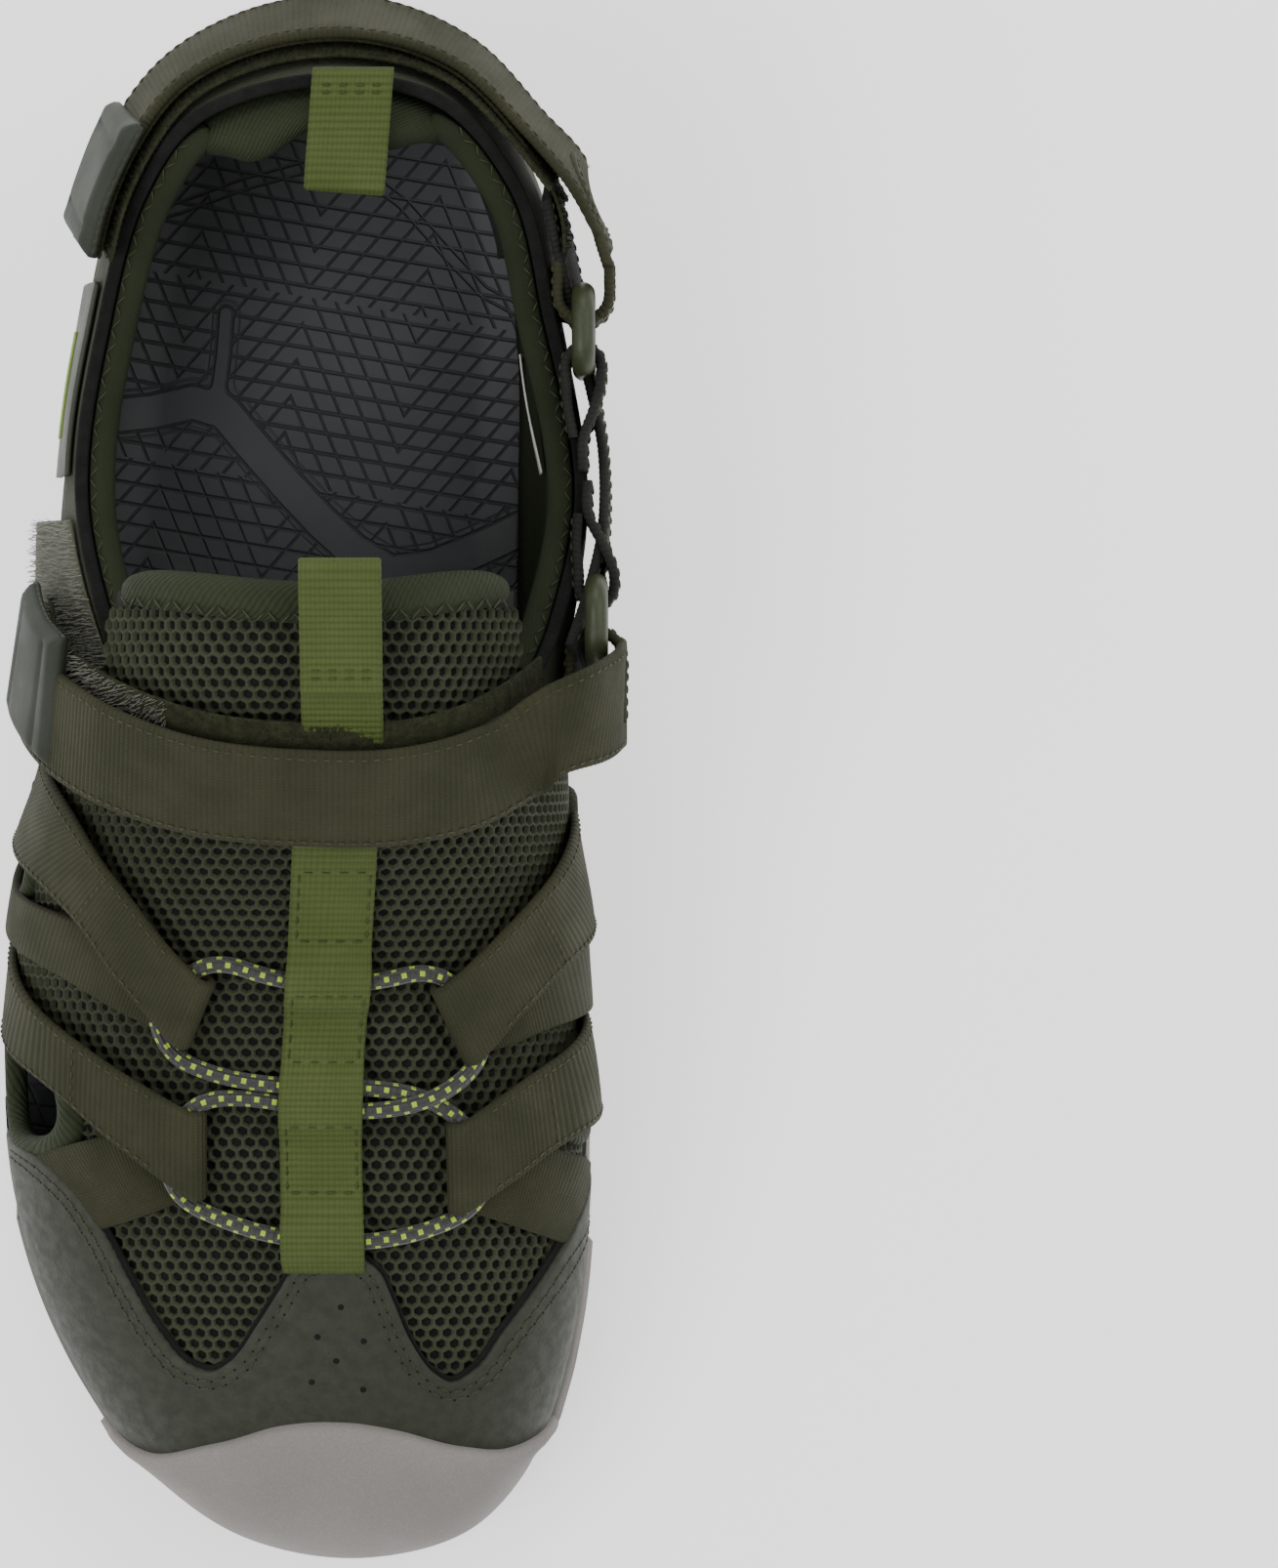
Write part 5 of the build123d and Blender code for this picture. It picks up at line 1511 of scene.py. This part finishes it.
@dataclass
class Collar:
    """Side walls, neoprene lining, heel pad and the small trims on them."""

    lining_bulge: float = 2.3

    def build(self, wardrobe: Wardrobe) -> None:
        """Makes and dresses the back of the upper."""
        for side, name in ((-1, "lateral"), (1, "medial")):
            wardrobe.dress(self.wall(side, name), "shoe", "wall_fabric", replaces=(f"quarter_{name}",))
            lining = self.lining(side, name)
            wardrobe.dress(lining, "shoe", "soft_neoprene", replaces=(f"collar_lining_{name}",))
            self.edging(wardrobe, side, name)
        pad = self.pad()
        wardrobe.dress(pad, "shoe", "soft_neoprene", replaces=("heel_pad",))
        self.trims(wardrobe)

    def wall(self, side: int, name: str) -> Piece:
        """Outer wall, from the instep to the heel seam."""
        section = [(0.0, 0.0), (0.25, 0.0), (0.5, 0.0), (0.75, 0.0), (0.97, 0.0), (1.0, -0.5),
                   (1.0, -1.7), (0.97, -2.2), (0.75, -2.2), (0.5, -2.2), (0.25, -2.2), (0.0, -2.2)]
        shape = np.array(section)
        count = len(section)

        def place(u: Array, v: Array) -> Array:
            """Spots of the wall surface for a grid."""
            k = np.rint(v * count).astype(int) % count
            s = side * (0.0 + WALL_FRONT * u)
            return WALL.at(s, shape[k, 0], shape[k, 1])

        return skin(f"wall_{name}", 90, count, place, wrap=True, ends=True, uv=(0.17, 0.12))

    def lining(self, side: int, name: str) -> Piece:
        """Padded lining that rolls over the collar, plump between its seams."""
        around = 40

        def place(u: Array, v: Array) -> Array:
            """Spots of the collar's lining for a grid."""
            s = side * (0.13 + (WALL_FRONT + 0.035 - 0.13) * u)
            turn = v * 4
            outer = np.clip(turn, 0, 1)
            roll = np.clip(turn - 1, 0, 1) * math.pi
            inner = np.clip(turn - 2, 0, 1)
            ends = np.sqrt(np.clip(np.sin(math.pi * u) * 7, 0, 1))
            plump = self.lining_bulge * (0.5 + 0.5 * ends)
            h = np.select([turn < 1, turn < 2, turn < 3], [0.04 + 0.94 * outer, 0.98, 0.98 - 0.94 * inner],
                          0.04)
            swell = -4.9 - plump - 0.5 * np.sin(math.pi * np.clip(inner * 1.3, 0, 1)) * ends
            deep = swell + 3.0 * step(inner, 0.2, 1.0)
            d = np.select([turn < 1, turn < 2, turn < 3],
                          [-3.2 + 0.6 * outer, -4.9 + plump * np.cos(roll), deep],
                          -4.3 + (turn - 3) * 1.1)
            up = np.where((turn >= 1) & (turn < 2), 1.9 * ends * np.sin(roll), 0)
            return WALL.at(s, h, d, up)

        return skin(f"collar_{name}", 120, around, place, wrap=True, ends=True, uv=(0.16, 0.16))

    def edging(self, wardrobe: Wardrobe, side: int, name: str) -> None:
        """Black felt edge along the collar with its zigzag seam."""

        def at(u: Array, x: Array, z: Array) -> Array:
            """Spots on the collar's edging."""
            s = side * (0.0 + 0.9 * u)
            return WALL.at(s, np.full_like(u, 0.985), -1.1 + 1.25 * x, 0.9 + z)

        felt = Strip(at, 170, 2.5, 1.2, rib_pitch=1.7, rib_depth=0.08, across=4)
        wardrobe.dress(felt.mesh(f"collar_edge_{name}"), "shoe", "black_felt_and_hole_shade")
        u = np.linspace(0.02, 0.96, 200)
        s = side * (0.15 + 0.75 * u)
        points = WALL.at(s, np.full_like(s, 0.98), np.full_like(s, -3.5), np.full_like(s, 1.75))
        row = stitches(f"collar_zigzag_{name}", [(points, np.tile([0.0, 0.0, 1.0], (200, 1)))], pitch=2.3,
                       radius=0.17, seam=Seam.ZIGZAG, reach=0.8)
        wardrobe.dress(row, "shoe", "dark_thread")

    def pad(self) -> Piece:
        """Two-lobed pad behind the heel."""
        around = 28

        def place(u: Array, v: Array) -> Array:
            """Spots of the heel pad for a grid."""
            s = -0.185 + 0.37 * u
            turn = 2 * math.pi * v
            c, n = np.cos(turn), np.sin(turn)
            taper = np.sqrt(np.clip(1 - (2 * u - 1) ** 6, 0, 1))
            lobes = 1 + 0.22 * np.cos(4 * math.pi * (u - 0.5) + math.pi)
            h = 0.8 + 0.22 * taper * np.sign(n) * np.abs(n) ** 0.8
            deep = 4.9 * taper * lobes
            d = -3.4 - deep + deep * np.sign(c) * np.abs(c) ** 0.9
            return WALL.at(s, h, d, 0.9 * taper)

        return skin("heel_cushion", 90, around, place, wrap=True, ends=True, uv=(0.07, 0.06))

    def trims(self, wardrobe: Wardrobe) -> None:
        """Side badge with one plain bar, and the blank woven label."""

        def badge(u: Array, x: Array, z: Array) -> Array:
            """Spots on the badge's plate."""
            return WALL.at(-0.57 + 0.23 * u, 0.7 + 0.22 * x, 0.9 + z)

        plate = Strip(badge, 28, 20, 1.1, rib_pitch=2.0, rib_depth=0.0, across=7)
        wardrobe.dress(plate.mesh("side_badge_plate"), "shoe", "badge_face", replaces=("side_badge",))

        def stripe(u: Array, x: Array, z: Array) -> Array:
            """Spots on the badge's plain bar."""
            return WALL.at(-0.52 + 0.13 * u, 0.7 + 0.03 * x, 1.6 + z)

        bar = Strip(stripe, 16, 2.6, 0.5, rib_pitch=2.0, rib_depth=0.0, across=3)
        wardrobe.dress(bar.mesh("side_badge_stripe"), "shoe", "badge_stripe")

        def label(u: Array, x: Array, z: Array) -> Array:
            """Spots on the woven label."""
            h = 0.66 + 0.12 * x
            return WALL.at(0.43 + 0.15 * u, h + 0.12, -8.3 - 0.8 * np.sin(math.pi * u) + z)

        cloth = Strip(label, 24, 10, 0.35, rib_pitch=0.9, rib_depth=0.02, across=6)
        wardrobe.dress(cloth.mesh("size_label_cloth"), "shoe", "woven_label", replaces=("size_label",))


# ---- Straps ----


def arch_frames(path: Plan, lift: float) -> list[tuple]:
    """Frames of a band that follows the forefoot at a height, in millimetres."""
    found = []
    for turn, y in path:
        n = ARCH.normal(np.array(float(y)), np.array(float(turn)))
        found.append((ARCH.point(y, turn) + lift * n, n))
    return found


def turn_frames(x: float, y: float, z: float, radius: float, reach: float, way: int) -> list[tuple]:
    """Frames of webbing that turns round an upright bar, in millimetres.

    Args:
        x: Bar's place.
        y: Bar's place.
        z: Height of the webbing's middle.
        radius: From the bar's middle to the webbing's middle.
        reach: Length of each straight side.
        way: Side along Y to which both ends point.

    Returns:
        Frames from the outer end round the bar to the inner end.
    """
    up = (0.0, 0.0, 1.0)
    outer = [((x + radius, y + way * reach * t, z), (1.0, 0.0, 0.0), up) for t in (1, 0.5)]
    bend = []
    for t in np.linspace(0, math.pi, 9):
        n = (math.cos(t), -way * math.sin(t), 0.0)
        bend.append(((x + radius * n[0], y + radius * n[1], z), n, up))
    inner = [((x - radius, y + way * reach * t, z), (-1.0, 0.0, 0.0), up) for t in (0.5, 1)]
    return outer + bend + inner


def keeper_frames(x: float, y: float, z: float, radius: float, way: int, side: float) -> list[tuple]:
    """Frames of webbing that turns round a ring's bar and closes on itself beyond it.

    Args:
        x: Bar's place.
        y: Bar's place.
        z: Height of the webbing's middle.
        radius: From the bar's middle to the webbing's middle.
        way: Side along Y on which the webbing closes.
        side: Where the closed webbing lies, from the bar, along X.

    Returns:
        Frames from the outer end round the bar to the inner end.
    """
    turn = turn_frames(x, y, z, radius, 3, way)
    up = (0.0, 0.0, 1.0)
    outer = [((x + side + 0.8, y + way * 19, z), (1.0, 0.0, 0.0), up),
             ((x + side + 0.9, y + way * 13, z), (1.0, 0.0, 0.0), up),
             ((x + side / 2 + radius * 0.75, y + way * 7.5, z), (0.95, way * 0.3, 0.0), up)]
    inner = [((x + side / 2 - radius * 0.75, y + way * 7.5, z), (-0.95, way * 0.3, 0.0), up),
             ((x + side - 0.9, y + way * 13, z), (-1.0, 0.0, 0.0), up)]
    return outer + turn[1:-1] + inner


def fringe(name: str, at: Surface, rows: int, count: int, height: float, seed: int) -> Piece:
    """Short standing fibres over a band, as on hook and loop fasteners.

    Args:
        name: The piece's name.
        at: Surface function of the band.
        rows: Fibres across it.
        count: Fibres along it.
        height: Of a fibre, in millimetres.
        seed: Of the fibres' lean.

    Returns:
        The piece.
    """
    rng = np.random.default_rng(seed)
    u, x = np.meshgrid(np.linspace(0.01, 0.99, count), np.linspace(-0.98, 0.98, rows), indexing="ij")
    u = (u + rng.normal(0, 0.3 / count, u.shape)).clip(0, 1).ravel()
    x = (x + rng.normal(0, 0.5 / rows, x.shape)).ravel()
    foot = at(u, x, np.zeros_like(u))
    tall = height * rng.uniform(0.55, 1.1, u.shape)
    tip = at(u + rng.normal(0, 0.5 / count, u.shape), x + rng.normal(0, 0.7 / rows, u.shape), tall)
    bm = bmesh.new()
    for a, b in zip(foot, tip):
        run = Vector(b - a)
        place = run.to_track_quat("Z", "Y").to_matrix().to_4x4()
        place.translation = (Vector(a) + Vector(b)) / 2
        bmesh.ops.create_cone(bm, cap_ends=False, segments=3, radius1=0.1 * MM, radius2=0.05 * MM,
                              depth=run.length, matrix=place)
    return finished(bm, name)


@dataclass
class Straps:
    """Instep and heel straps with their rings, folds, keepers, linings and moulded tabs."""

    instep_path: Plan = field(default_factory=lambda: [
        (-74, 22.5), (-62, 16), (-48, 10.4), (-34, 6.2), (-20, 3.2), (-4, 1.8), (12, 1.8), (26, 3.6), (38, 7),
    ])
    instep_hinge: tuple[float, float, float] = (61.8, 16.5, 70.4)
    instep_bar: tuple[float, float, float] = (56.3, 23.1, 67.0)
    instep_keeper: tuple[float, float, float] = (56.3, 35.9, 67.0)
    heel_s: tuple[float, ...] = (-0.31, -0.26, -0.2, -0.12, -0.04, 0.04, 0.12, 0.2, 0.26)
    heel_h: tuple[float, ...] = (0.9, 0.87, 0.83, 0.79, 0.765, 0.765, 0.79, 0.84, 0.88)
    heel_lift: tuple[float, ...] = (4.6, 4.6, 4.6, 4.6, 4.6, 4.6, 4.8, 6, 9)
    heel_hinge: tuple[float, float, float] = (59.4, 93.0, 72.0)
    heel_bar: tuple[float, float, float] = (54.0, 88.3, 70.0)
    heel_keeper: tuple[float, float, float] = (54.0, 75.5, 70.0)
    half_gathered: float = 8.6
    keeper_width: float = 16.4
    keeper_radius: float = 3.2

    def build(self, wardrobe: Wardrobe, nodes: dict[str, Piece]) -> None:
        """Makes and dresses both straps."""
        self.instep(wardrobe)
        self.heel(wardrobe)
        for node in ("instep_ring", "heel_ring"):
            wardrobe.recolour(nodes[node], "moulded_ring")

    def band(self, wardrobe: Wardrobe, name: str, frames: list[tuple], body: str, node: tuple[str, ...] = (),
             width: float = WEBBING_WIDTH, finish: str = "woven_webbing", bend: tuple | None = None) -> Strip:
        """One run of webbing with a stitched line along both edges."""
        at, length = carried(frames, width)
        strip = Strip(at, length, width, WEBBING)
        wardrobe.dress(strip.mesh(name), body, finish, replaces=node, bend=bend)
        rows = [strip.line(side, 0.01, 0.99, 0.12) for side in (-0.86, 0.86)]
        wardrobe.dress(stitches(f"{name}_stitches", rows, pitch=2.2), body, "olive_thread", bend=bend)
        return strip

    def pile(self, wardrobe: Wardrobe, name: str, frames: list[tuple], body: str, node: tuple[str, ...],
             width: float, count: int, seed: int, bend: tuple | None = None) -> None:
        """A layer of loop pile with standing fibres along it."""
        at, length = carried(frames, width)
        base = Strip(at, length, width, 0.7, rib_pitch=1.3, rib_depth=0.18, across=14)
        wardrobe.dress(base.mesh(name), body, "loop_pile", replaces=node, bend=bend)
        tufts = fringe(f"{name}_tufts", at, 16, count, 1.25, seed)
        wardrobe.dress(tufts, body, "loop_pile", bend=bend)

    def instep(self, wardrobe: Wardrobe) -> None:
        """The instep strap from its moulded tab over the foot to the medial ring."""
        x, y, z = self.instep_hinge
        bend = ("shoe", (0.0628, y * MM, 0.064), (0.0588, y * MM, 0.079))
        frames = arch_frames(self.instep_path, PLY_2)
        frames.append(((x - 10.5, y - 6, z + 24), (0.62, -0.3, 0.72), (0.2, 0.95, 0.2)))
        frames.append(((x - 3.2, y - 2.6, z + 15), (0.93, -0.12, 0.35), (0.1, 0.99, 0.05)))
        frames.append(((x - WEBBING / 2, y, z + 0.4), (1, 0, 0), (0, 1, 0)))
        self.band(wardrobe, "instep_strap_webbing", frames, "instep_strap", ("instep_strap",), bend=bend)
        under = arch_frames(self.instep_path, PLY_2 - 1.3)
        self.pile(wardrobe, "instep_strap_pile", under, "instep_strap", ("instep_strap_lining",),
                  18.0, 130, 3)
        fixed = arch_frames([(t, p + 3.4) for t, p in [*self.instep_path, (50, 12)]], PLY_1)
        self.pile(wardrobe, "instep_fixed_pile", fixed, "shoe", ("instep_strap_base",), 19.0, 150, 5)
        surface, _ = carried(fixed, 19.0)

        def edge(u: Array, x: Array, z: Array) -> Array:
            """Spots on the strip of hooks above the strap."""
            return surface(0.02 + 0.4 * u, 0.62 + 0.34 * x, z)

        bristles = fringe("instep_edge_bristles", edge, 9, 70, 2.3, 13)
        wardrobe.dress(bristles, "shoe", "hook_bristle")
        ring_x, ring_y, ring_z = self.instep_bar
        turn = turn_frames(ring_x, ring_y, ring_z, FOLD_RADIUS, 12, -1)
        self.band(wardrobe, "instep_fold_webbing", turn, "shoe", ("instep_strap_fold",),
                  2 * self.half_gathered)
        keeper_x, keeper_y, keeper_z = self.instep_keeper
        keeper = keeper_frames(keeper_x, keeper_y, keeper_z, self.keeper_radius, 1, -2.4)
        self.band(wardrobe, "instep_keeper_webbing", keeper, "shoe", ("instep_ring_keeper",),
                  self.keeper_width, "keeper_webbing")
        tab = arch_frames([(-70, 24.5), (-64, 21.2), (-58, 18.2), (-51, 15.4)], PLY_2 - 0.2)
        self.tab(wardrobe, "instep_tab_moulding", tab, "instep_strap", "instep_tab")
        self.hooks(wardrobe)

    def heel(self, wardrobe: Wardrobe) -> None:
        """The heel strap from its moulded tab round the heel to the medial ring."""
        x, y, z = self.heel_hinge
        bend = ("shoe", (0.0602, 0.088, z * MM), (0.0578, 0.104, z * MM))
        frames = WALL.frames(list(self.heel_s), list(self.heel_h), list(self.heel_lift))
        frames.append(((x - 2.6, y + 6, z), (0.95, 0.3, 0), (0, 0, 1)))
        frames.append(((x - WEBBING / 2, y + 0.5, z), (1, 0, 0), (0, 0, 1)))
        self.band(wardrobe, "heel_strap_webbing", frames, "heel_strap", ("heel_strap",), bend=bend)
        under = WALL.frames(list(self.heel_s[:-1]), list(self.heel_h[:-1]), [3.3] * 7 + [4.2])
        under.append(((48.6, 106.5, 73.5), (0.86, 0.5, 0), (-0.05, 0, 1)))
        under.append(((50.4, 100.5, 72.5), (0.97, 0.24, 0), (0, 0, 1)))
        under.append(((50.6, 95.6, 72), (1, 0, 0), (0, 0, 1)))
        self.pile(wardrobe, "heel_strap_pile", under, "heel_strap", ("heel_strap_lining",), 18.5, 130, 7)
        fixed = WALL.frames(list(self.heel_s), [h + 0.03 for h in self.heel_h], [1.5] * 6 + [2.2, 3.4, 5.4])
        self.pile(wardrobe, "heel_fixed_pile", fixed, "shoe", ("heel_strap_base",), 20.0, 140, 9)
        bar_x, bar_y, bar_z = self.heel_bar
        turn = turn_frames(bar_x, bar_y, bar_z, FOLD_RADIUS, 6, 1)
        self.band(wardrobe, "heel_fold_webbing", turn, "shoe", ("heel_strap_fold",), 2 * self.half_gathered)
        keeper_x, keeper_y, keeper_z = self.heel_keeper
        keeper = keeper_frames(keeper_x, keeper_y, keeper_z, self.keeper_radius, -1, -0.9)
        self.band(wardrobe, "heel_keeper_webbing", keeper, "shoe", ("heel_ring_keeper",), self.keeper_width,
                  "keeper_webbing")
        anchor = WALL.frames([0.26, 0.36, 0.46, 0.56, 0.66, 0.76, 0.86], [0.86] * 7, [3.2] * 7)
        self.band(wardrobe, "medial_anchor_webbing", anchor, "shoe", (), 17.0, "keeper_webbing")
        tab = WALL.frames([-0.305, -0.26, -0.215, -0.17], [0.9, 0.875, 0.845, 0.815], [5.3] * 4)
        self.tab(wardrobe, "heel_tab_moulding", tab, "heel_strap", "heel_tab")

    def tab(self, wardrobe: Wardrobe, name: str, frames: list[tuple], body: str, node: str) -> None:
        """Moulded strap end: a slanted plate with a bevelled border and a grip groove."""
        width = WEBBING_WIDTH + 5
        at, length = carried(frames, width)

        def slanted(u: Array, x: Array, z: Array) -> Array:
            """The plate's surface with its slant."""
            return at(u + 0.07 * x * (1 - 2 * np.abs(u - 0.5)), x, z)

        def place(u: Array, v: Array) -> Array:
            """Spots of the moulded tab for a grid."""
            edge = np.minimum(np.minimum(u, 1 - u) * length, np.minimum(v, 1 - v) * width)
            top = 2.3 * np.clip(edge / 1.9, 0, 1) ** 0.6
            groove = 0.5 * np.exp(-((np.abs(2 * u - 1) - 0.62) * 14) ** 2)
            return slanted(u, 2 * v - 1, top - groove * (edge > 2.2))

        bm_top = skin(name, 60, 44, place)
        body_thick = bm_top.modifiers.new("thickness", "SOLIDIFY")
        body_thick.thickness = 0.9 * MM
        body_thick.offset = 0
        wardrobe.dress(bm_top, body, "moulded_tab", replaces=(node,))

        def side(u: Array, x: Array, z: Array) -> Array:
            """The plate's surface, a little wider."""
            return slanted(u, x * 1.03, z)

        rim = Strip(side, length, width, 1.5, rib_pitch=2, rib_depth=0.0, across=8)
        wardrobe.dress(rim.mesh(f"{name}_backing"), body, "tab_side")

    def hooks(self, wardrobe: Wardrobe) -> None:
        """Hook fastener along the lateral collar: a bed with rows of bristles."""

        def at(u: Array, x: Array, z: Array) -> Array:
            """Spots on the hook bed."""
            return WALL.at(-0.93 + 0.3 * u, 0.78 + 0.21 * x - 0.03 * u, 0.9 + 3.2 * (1 - x) / 2 + z)

        bed = Strip(at, 42, 20, 0.6, rib_pitch=1.6, rib_depth=0.1, across=8)
        wardrobe.dress(bed.mesh("instep_hook_bed"), "shoe", "hook_bed", replaces=("instep_hook_patch",))
        bristles = fringe("instep_hook_bristles", at, 20, 56, 2.0, 11)
        wardrobe.dress(bristles, "shoe", "hook_bristle")


# ---- Tongue and pull loops ----


@dataclass
class Tongue:
    """Upper end of the mesh with its padded edge, and both pull loops."""

    half: float = 44.0
    edge_y: float = 34.5

    def build(self, wardrobe: Wardrobe) -> None:
        """Makes and dresses the tongue and the pull loops."""
        bend = ("shoe", (0.010, 0.008, 0.10), (0.010, 0.019, 0.10))

        def keep(turn: Array, y: Array) -> Array:
            """Which cells of the tongue's net stay."""
            return (np.abs(turn) < 47) & (y > 7) & (y < self.edge_y - 2)

        run = np.interp([5, self.edge_y], ARCH.rows, ARCH.ridge_run)
        net = hex_net("tongue_net", 75, float(run[0]), float(run[1]), keep, 2.0)

        def place(u: Array, v: Array) -> Array:
            """Spots of the tongue's lining for a grid."""
            return ARCH.at(6 + (self.edge_y - 6) * u, -47 + 94 * v, np.full_like(u, 0.4))

        lining = skin("tongue_lining_sheet", 26, 90, place, outward=lambda p: Vector((0, 0, 1)))
        wardrobe.dress(lining, "tongue", "vamp_lining", replaces=("tongue_mesh",), bend=bend)
        wardrobe.dress(net, "tongue", "net_thread", "net_spacer_shade", bend=bend)
        edge = self.edge()
        wardrobe.dress(edge, "tongue", "soft_neoprene", replaces=("tongue_binding",))
        turns = np.radians(np.linspace(-41, 41, 140))
        y = self.sag(np.degrees(turns)) - 3.4
        points = ARCH.at(y, np.degrees(turns), np.full_like(y, 3.5))
        row = [(points, ARCH.normal(y, np.degrees(turns)))]
        seam = stitches("tongue_zigzag", row, pitch=2.3, radius=0.19, seam=Seam.ZIGZAG, reach=1.2)
        wardrobe.dress(seam, "tongue", "dark_thread")
        self.pull_loops(wardrobe)

    def sag(self, turn: Array) -> Array:
        """Where the tongue's edge runs: lower beside the pull loop than at its corners."""
        return self.edge_y - 2.6 * np.cos(np.radians(turn * 2.2)) ** 2 + 1.5

    def edge(self) -> Piece:
        """Rolled neoprene edge of the tongue."""
        around = 18

        def place(u: Array, v: Array) -> Array:
            """Spots of the tongue's padded edge for a grid."""
            turn = -self.half + 2 * self.half * u
            taper = np.sqrt(np.clip(1 - (2 * u - 1) ** 10, 0.02, 1))
            c, n = np.cos(2 * math.pi * v), np.sin(2 * math.pi * v)
            y = self.sag(turn) - 1.2 + 3.6 * taper * np.sign(c) * np.abs(c) ** 0.8
            return ARCH.at(y, turn, 1.0 + 2.5 * taper * np.sign(n) * np.abs(n) ** 0.85)

        return skin("tongue_edge_roll", 110, around, place, wrap=True, ends=True, uv=(0.1, 0.02))

    def pull_loops(self, wardrobe: Wardrobe) -> None:
        """Green tape loops: one sewn on the tongue, one hanging inside the heel."""
        root = ARCH.at(np.array(19.0), np.array(0.0), np.array(MESH + 4.4)) / MM + [1.7, 0, 0]
        tip = root + np.array([0, 22.5, 9])
        n = unit(np.array([0.0, -9.0, 22.5]))
        self.loop(wardrobe, "tongue_pull_tape", root, tip, n, "tongue_loop", "tongue_pull_loop")
        foot = ARCH.at(np.array(8.0), np.array(1.0), np.array(MESH + 1.6)) / MM + [0.6, 0, 0]
        spots = [foot, (foot + root) / 2 + [0, 0, 0.4], root + [0, 0.6, 0.3]]
        at, length = carried([(s, (0.0, -0.55, 0.83)) for s in spots], TAPE_WIDTH)
        tail = Strip(at, length, TAPE_WIDTH, 1.2, rib_pitch=1.35, rib_depth=0.2)
        wardrobe.dress(tail.mesh("tongue_tape_tail"), "tongue", "green_tape")
        x, y, z = 12.5, 123.5, 98.6
        start = np.array([x + 0.8, y + 3.5, z + 1])
        end = np.array([x - 1.0, y - 17.5, z - 4])
        n = unit(np.array([0.0, -5.0, 18.5]))
        self.loop(wardrobe, "heel_pull_tape", start, end, n, "heel_loop", "heel_pull_loop")

    def loop(self, wardrobe: Wardrobe, name: str, start: Array, end: Array, n: Array, body: str,
             node: str) -> None:
        """A tape doubled back on itself, rounded at its free end, sewn across at its root."""
        run = unit(end - start)
        half = 1.15
        reach = float(np.linalg.norm(end - start)) - half
        frames = [(start + run * t * reach + n * half * (0.75 + 0.35 * t), n) for t in (0, 0.5, 1)]
        for turn in np.linspace(0.15, 0.85, 5) * math.pi:
            way = n * math.cos(turn) + run * math.sin(turn)
            frames.append((start + run * reach + way * half * 1.1, way))
        frames += [(start + run * t * reach - n * half * (0.75 + 0.35 * t), -n) for t in (1, 0.5, 0)]
        at, length = carried([(c, w, (1.0, 0.0, 0.0)) for c, w in frames], TAPE_WIDTH)
        strip = Strip(at, length, TAPE_WIDTH, 1.1, rib_pitch=1.35, rib_depth=0.2)
        wardrobe.dress(strip.mesh(name), body, "green_tape", replaces=(node,))
        rows = [strip.bar(0.06, 0.82, 0.15), strip.bar(0.09, 0.82, 0.15)]
        wardrobe.dress(stitches(f"{name}_stitches", rows, pitch=2.4), body, "green_thread")


# ---- Studio ----


@dataclass
class Studio:
    """Pale floor, soft lights and the camera overhead."""

    camera_height: float = 1.5
    camera_x: float = 0.064
    picture_height: float = 0.298

    def build(self) -> None:
        """Sets up everything that isn't the object."""
        self.floor()
        self.lights()
        self.camera()

    def floor(self) -> None:
        """Large plain floor."""
        bm = bmesh.new()
        bmesh.ops.create_grid(bm, x_segments=2, y_segments=2, size=4.0)
        bmesh.ops.translate(bm, verts=bm.verts[:], vec=(0, 0, -0.0005))
        floor = finished(bm, "studio_floor")
        paint = bpy.data.materials.new("studio_paint")
        paint.use_nodes = True
        shader = paint.node_tree.nodes["Principled BSDF"]
        shader.inputs["Base Color"].default_value = (0.95, 0.95, 0.95, 1)
        shader.inputs["Roughness"].default_value = 0.9
        shader.inputs["Emission Color"].default_value = (1, 1, 1, 1)
        shader.inputs["Emission Strength"].default_value = 0.8
        floor.data.materials.append(paint)
        floor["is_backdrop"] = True

    def lights(self) -> None:
        """Soft boxes over the object and an even sky."""
        for name, spot, size, power in (
            ("key", (-0.9, -0.5, 1.6), 1.2, 20.0), ("fill", (1.2, 0.3, 1.4), 1.5, 12.0),
            ("back", (0.0, 1.3, 1.1), 1.0, 9.0),
        ):
            data = bpy.data.lights.new(name, "AREA")
            data.energy = power
            data.size = size
            lamp = bpy.data.objects.new(name, data)
            lamp.location = spot
            lamp.rotation_euler = (Vector((0, 0, 0.03)) - Vector(spot)).to_track_quat("-Z", "Y").to_euler()
            bpy.context.scene.collection.objects.link(lamp)
        world = bpy.data.worlds.new("studio_sky")
        world.use_nodes = True
        world.node_tree.nodes["Background"].inputs[0].default_value = (1, 1, 1, 1)
        world.node_tree.nodes["Background"].inputs[1].default_value = 0.55
        bpy.context.scene.world = world

    def camera(self) -> None:
        """Camera looking straight down."""
        data = bpy.data.cameras.new("camera")
        data.sensor_width = 36.0
        data.lens = 36.0 * self.camera_height / self.picture_height
        camera = bpy.data.objects.new("camera", data)
        camera.location = (self.camera_x, 0.0, self.camera_height)
        bpy.context.scene.collection.objects.link(camera)
        bpy.context.scene.camera = camera


def main() -> None:
    """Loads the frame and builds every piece."""
    logging.basicConfig(level=logging.INFO, format="%(name)s: %(message)s")
    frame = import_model()
    cad_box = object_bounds()
    Studio().build()
    wardrobe = Wardrobe()
    Sole().build(wardrobe)
    Forefoot().build(wardrobe)
    Collar().build(wardrobe)
    Straps().build(wardrobe, frame["nodes"])
    Tongue().build(wardrobe)
    for node, finish in {"outsole": "tread_rubber", "insole_board": "pressed_board",
                         "heel_counter": "counter_board"}.items():
        wardrobe.recolour(frame["nodes"][node], finish)
    boxes = {"cad": cad_box, "visual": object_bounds()}
    {key: [list(map(float, corner)) for corner in box] for key, box in boxes.items()}


if __name__ == "__main__":
    main()
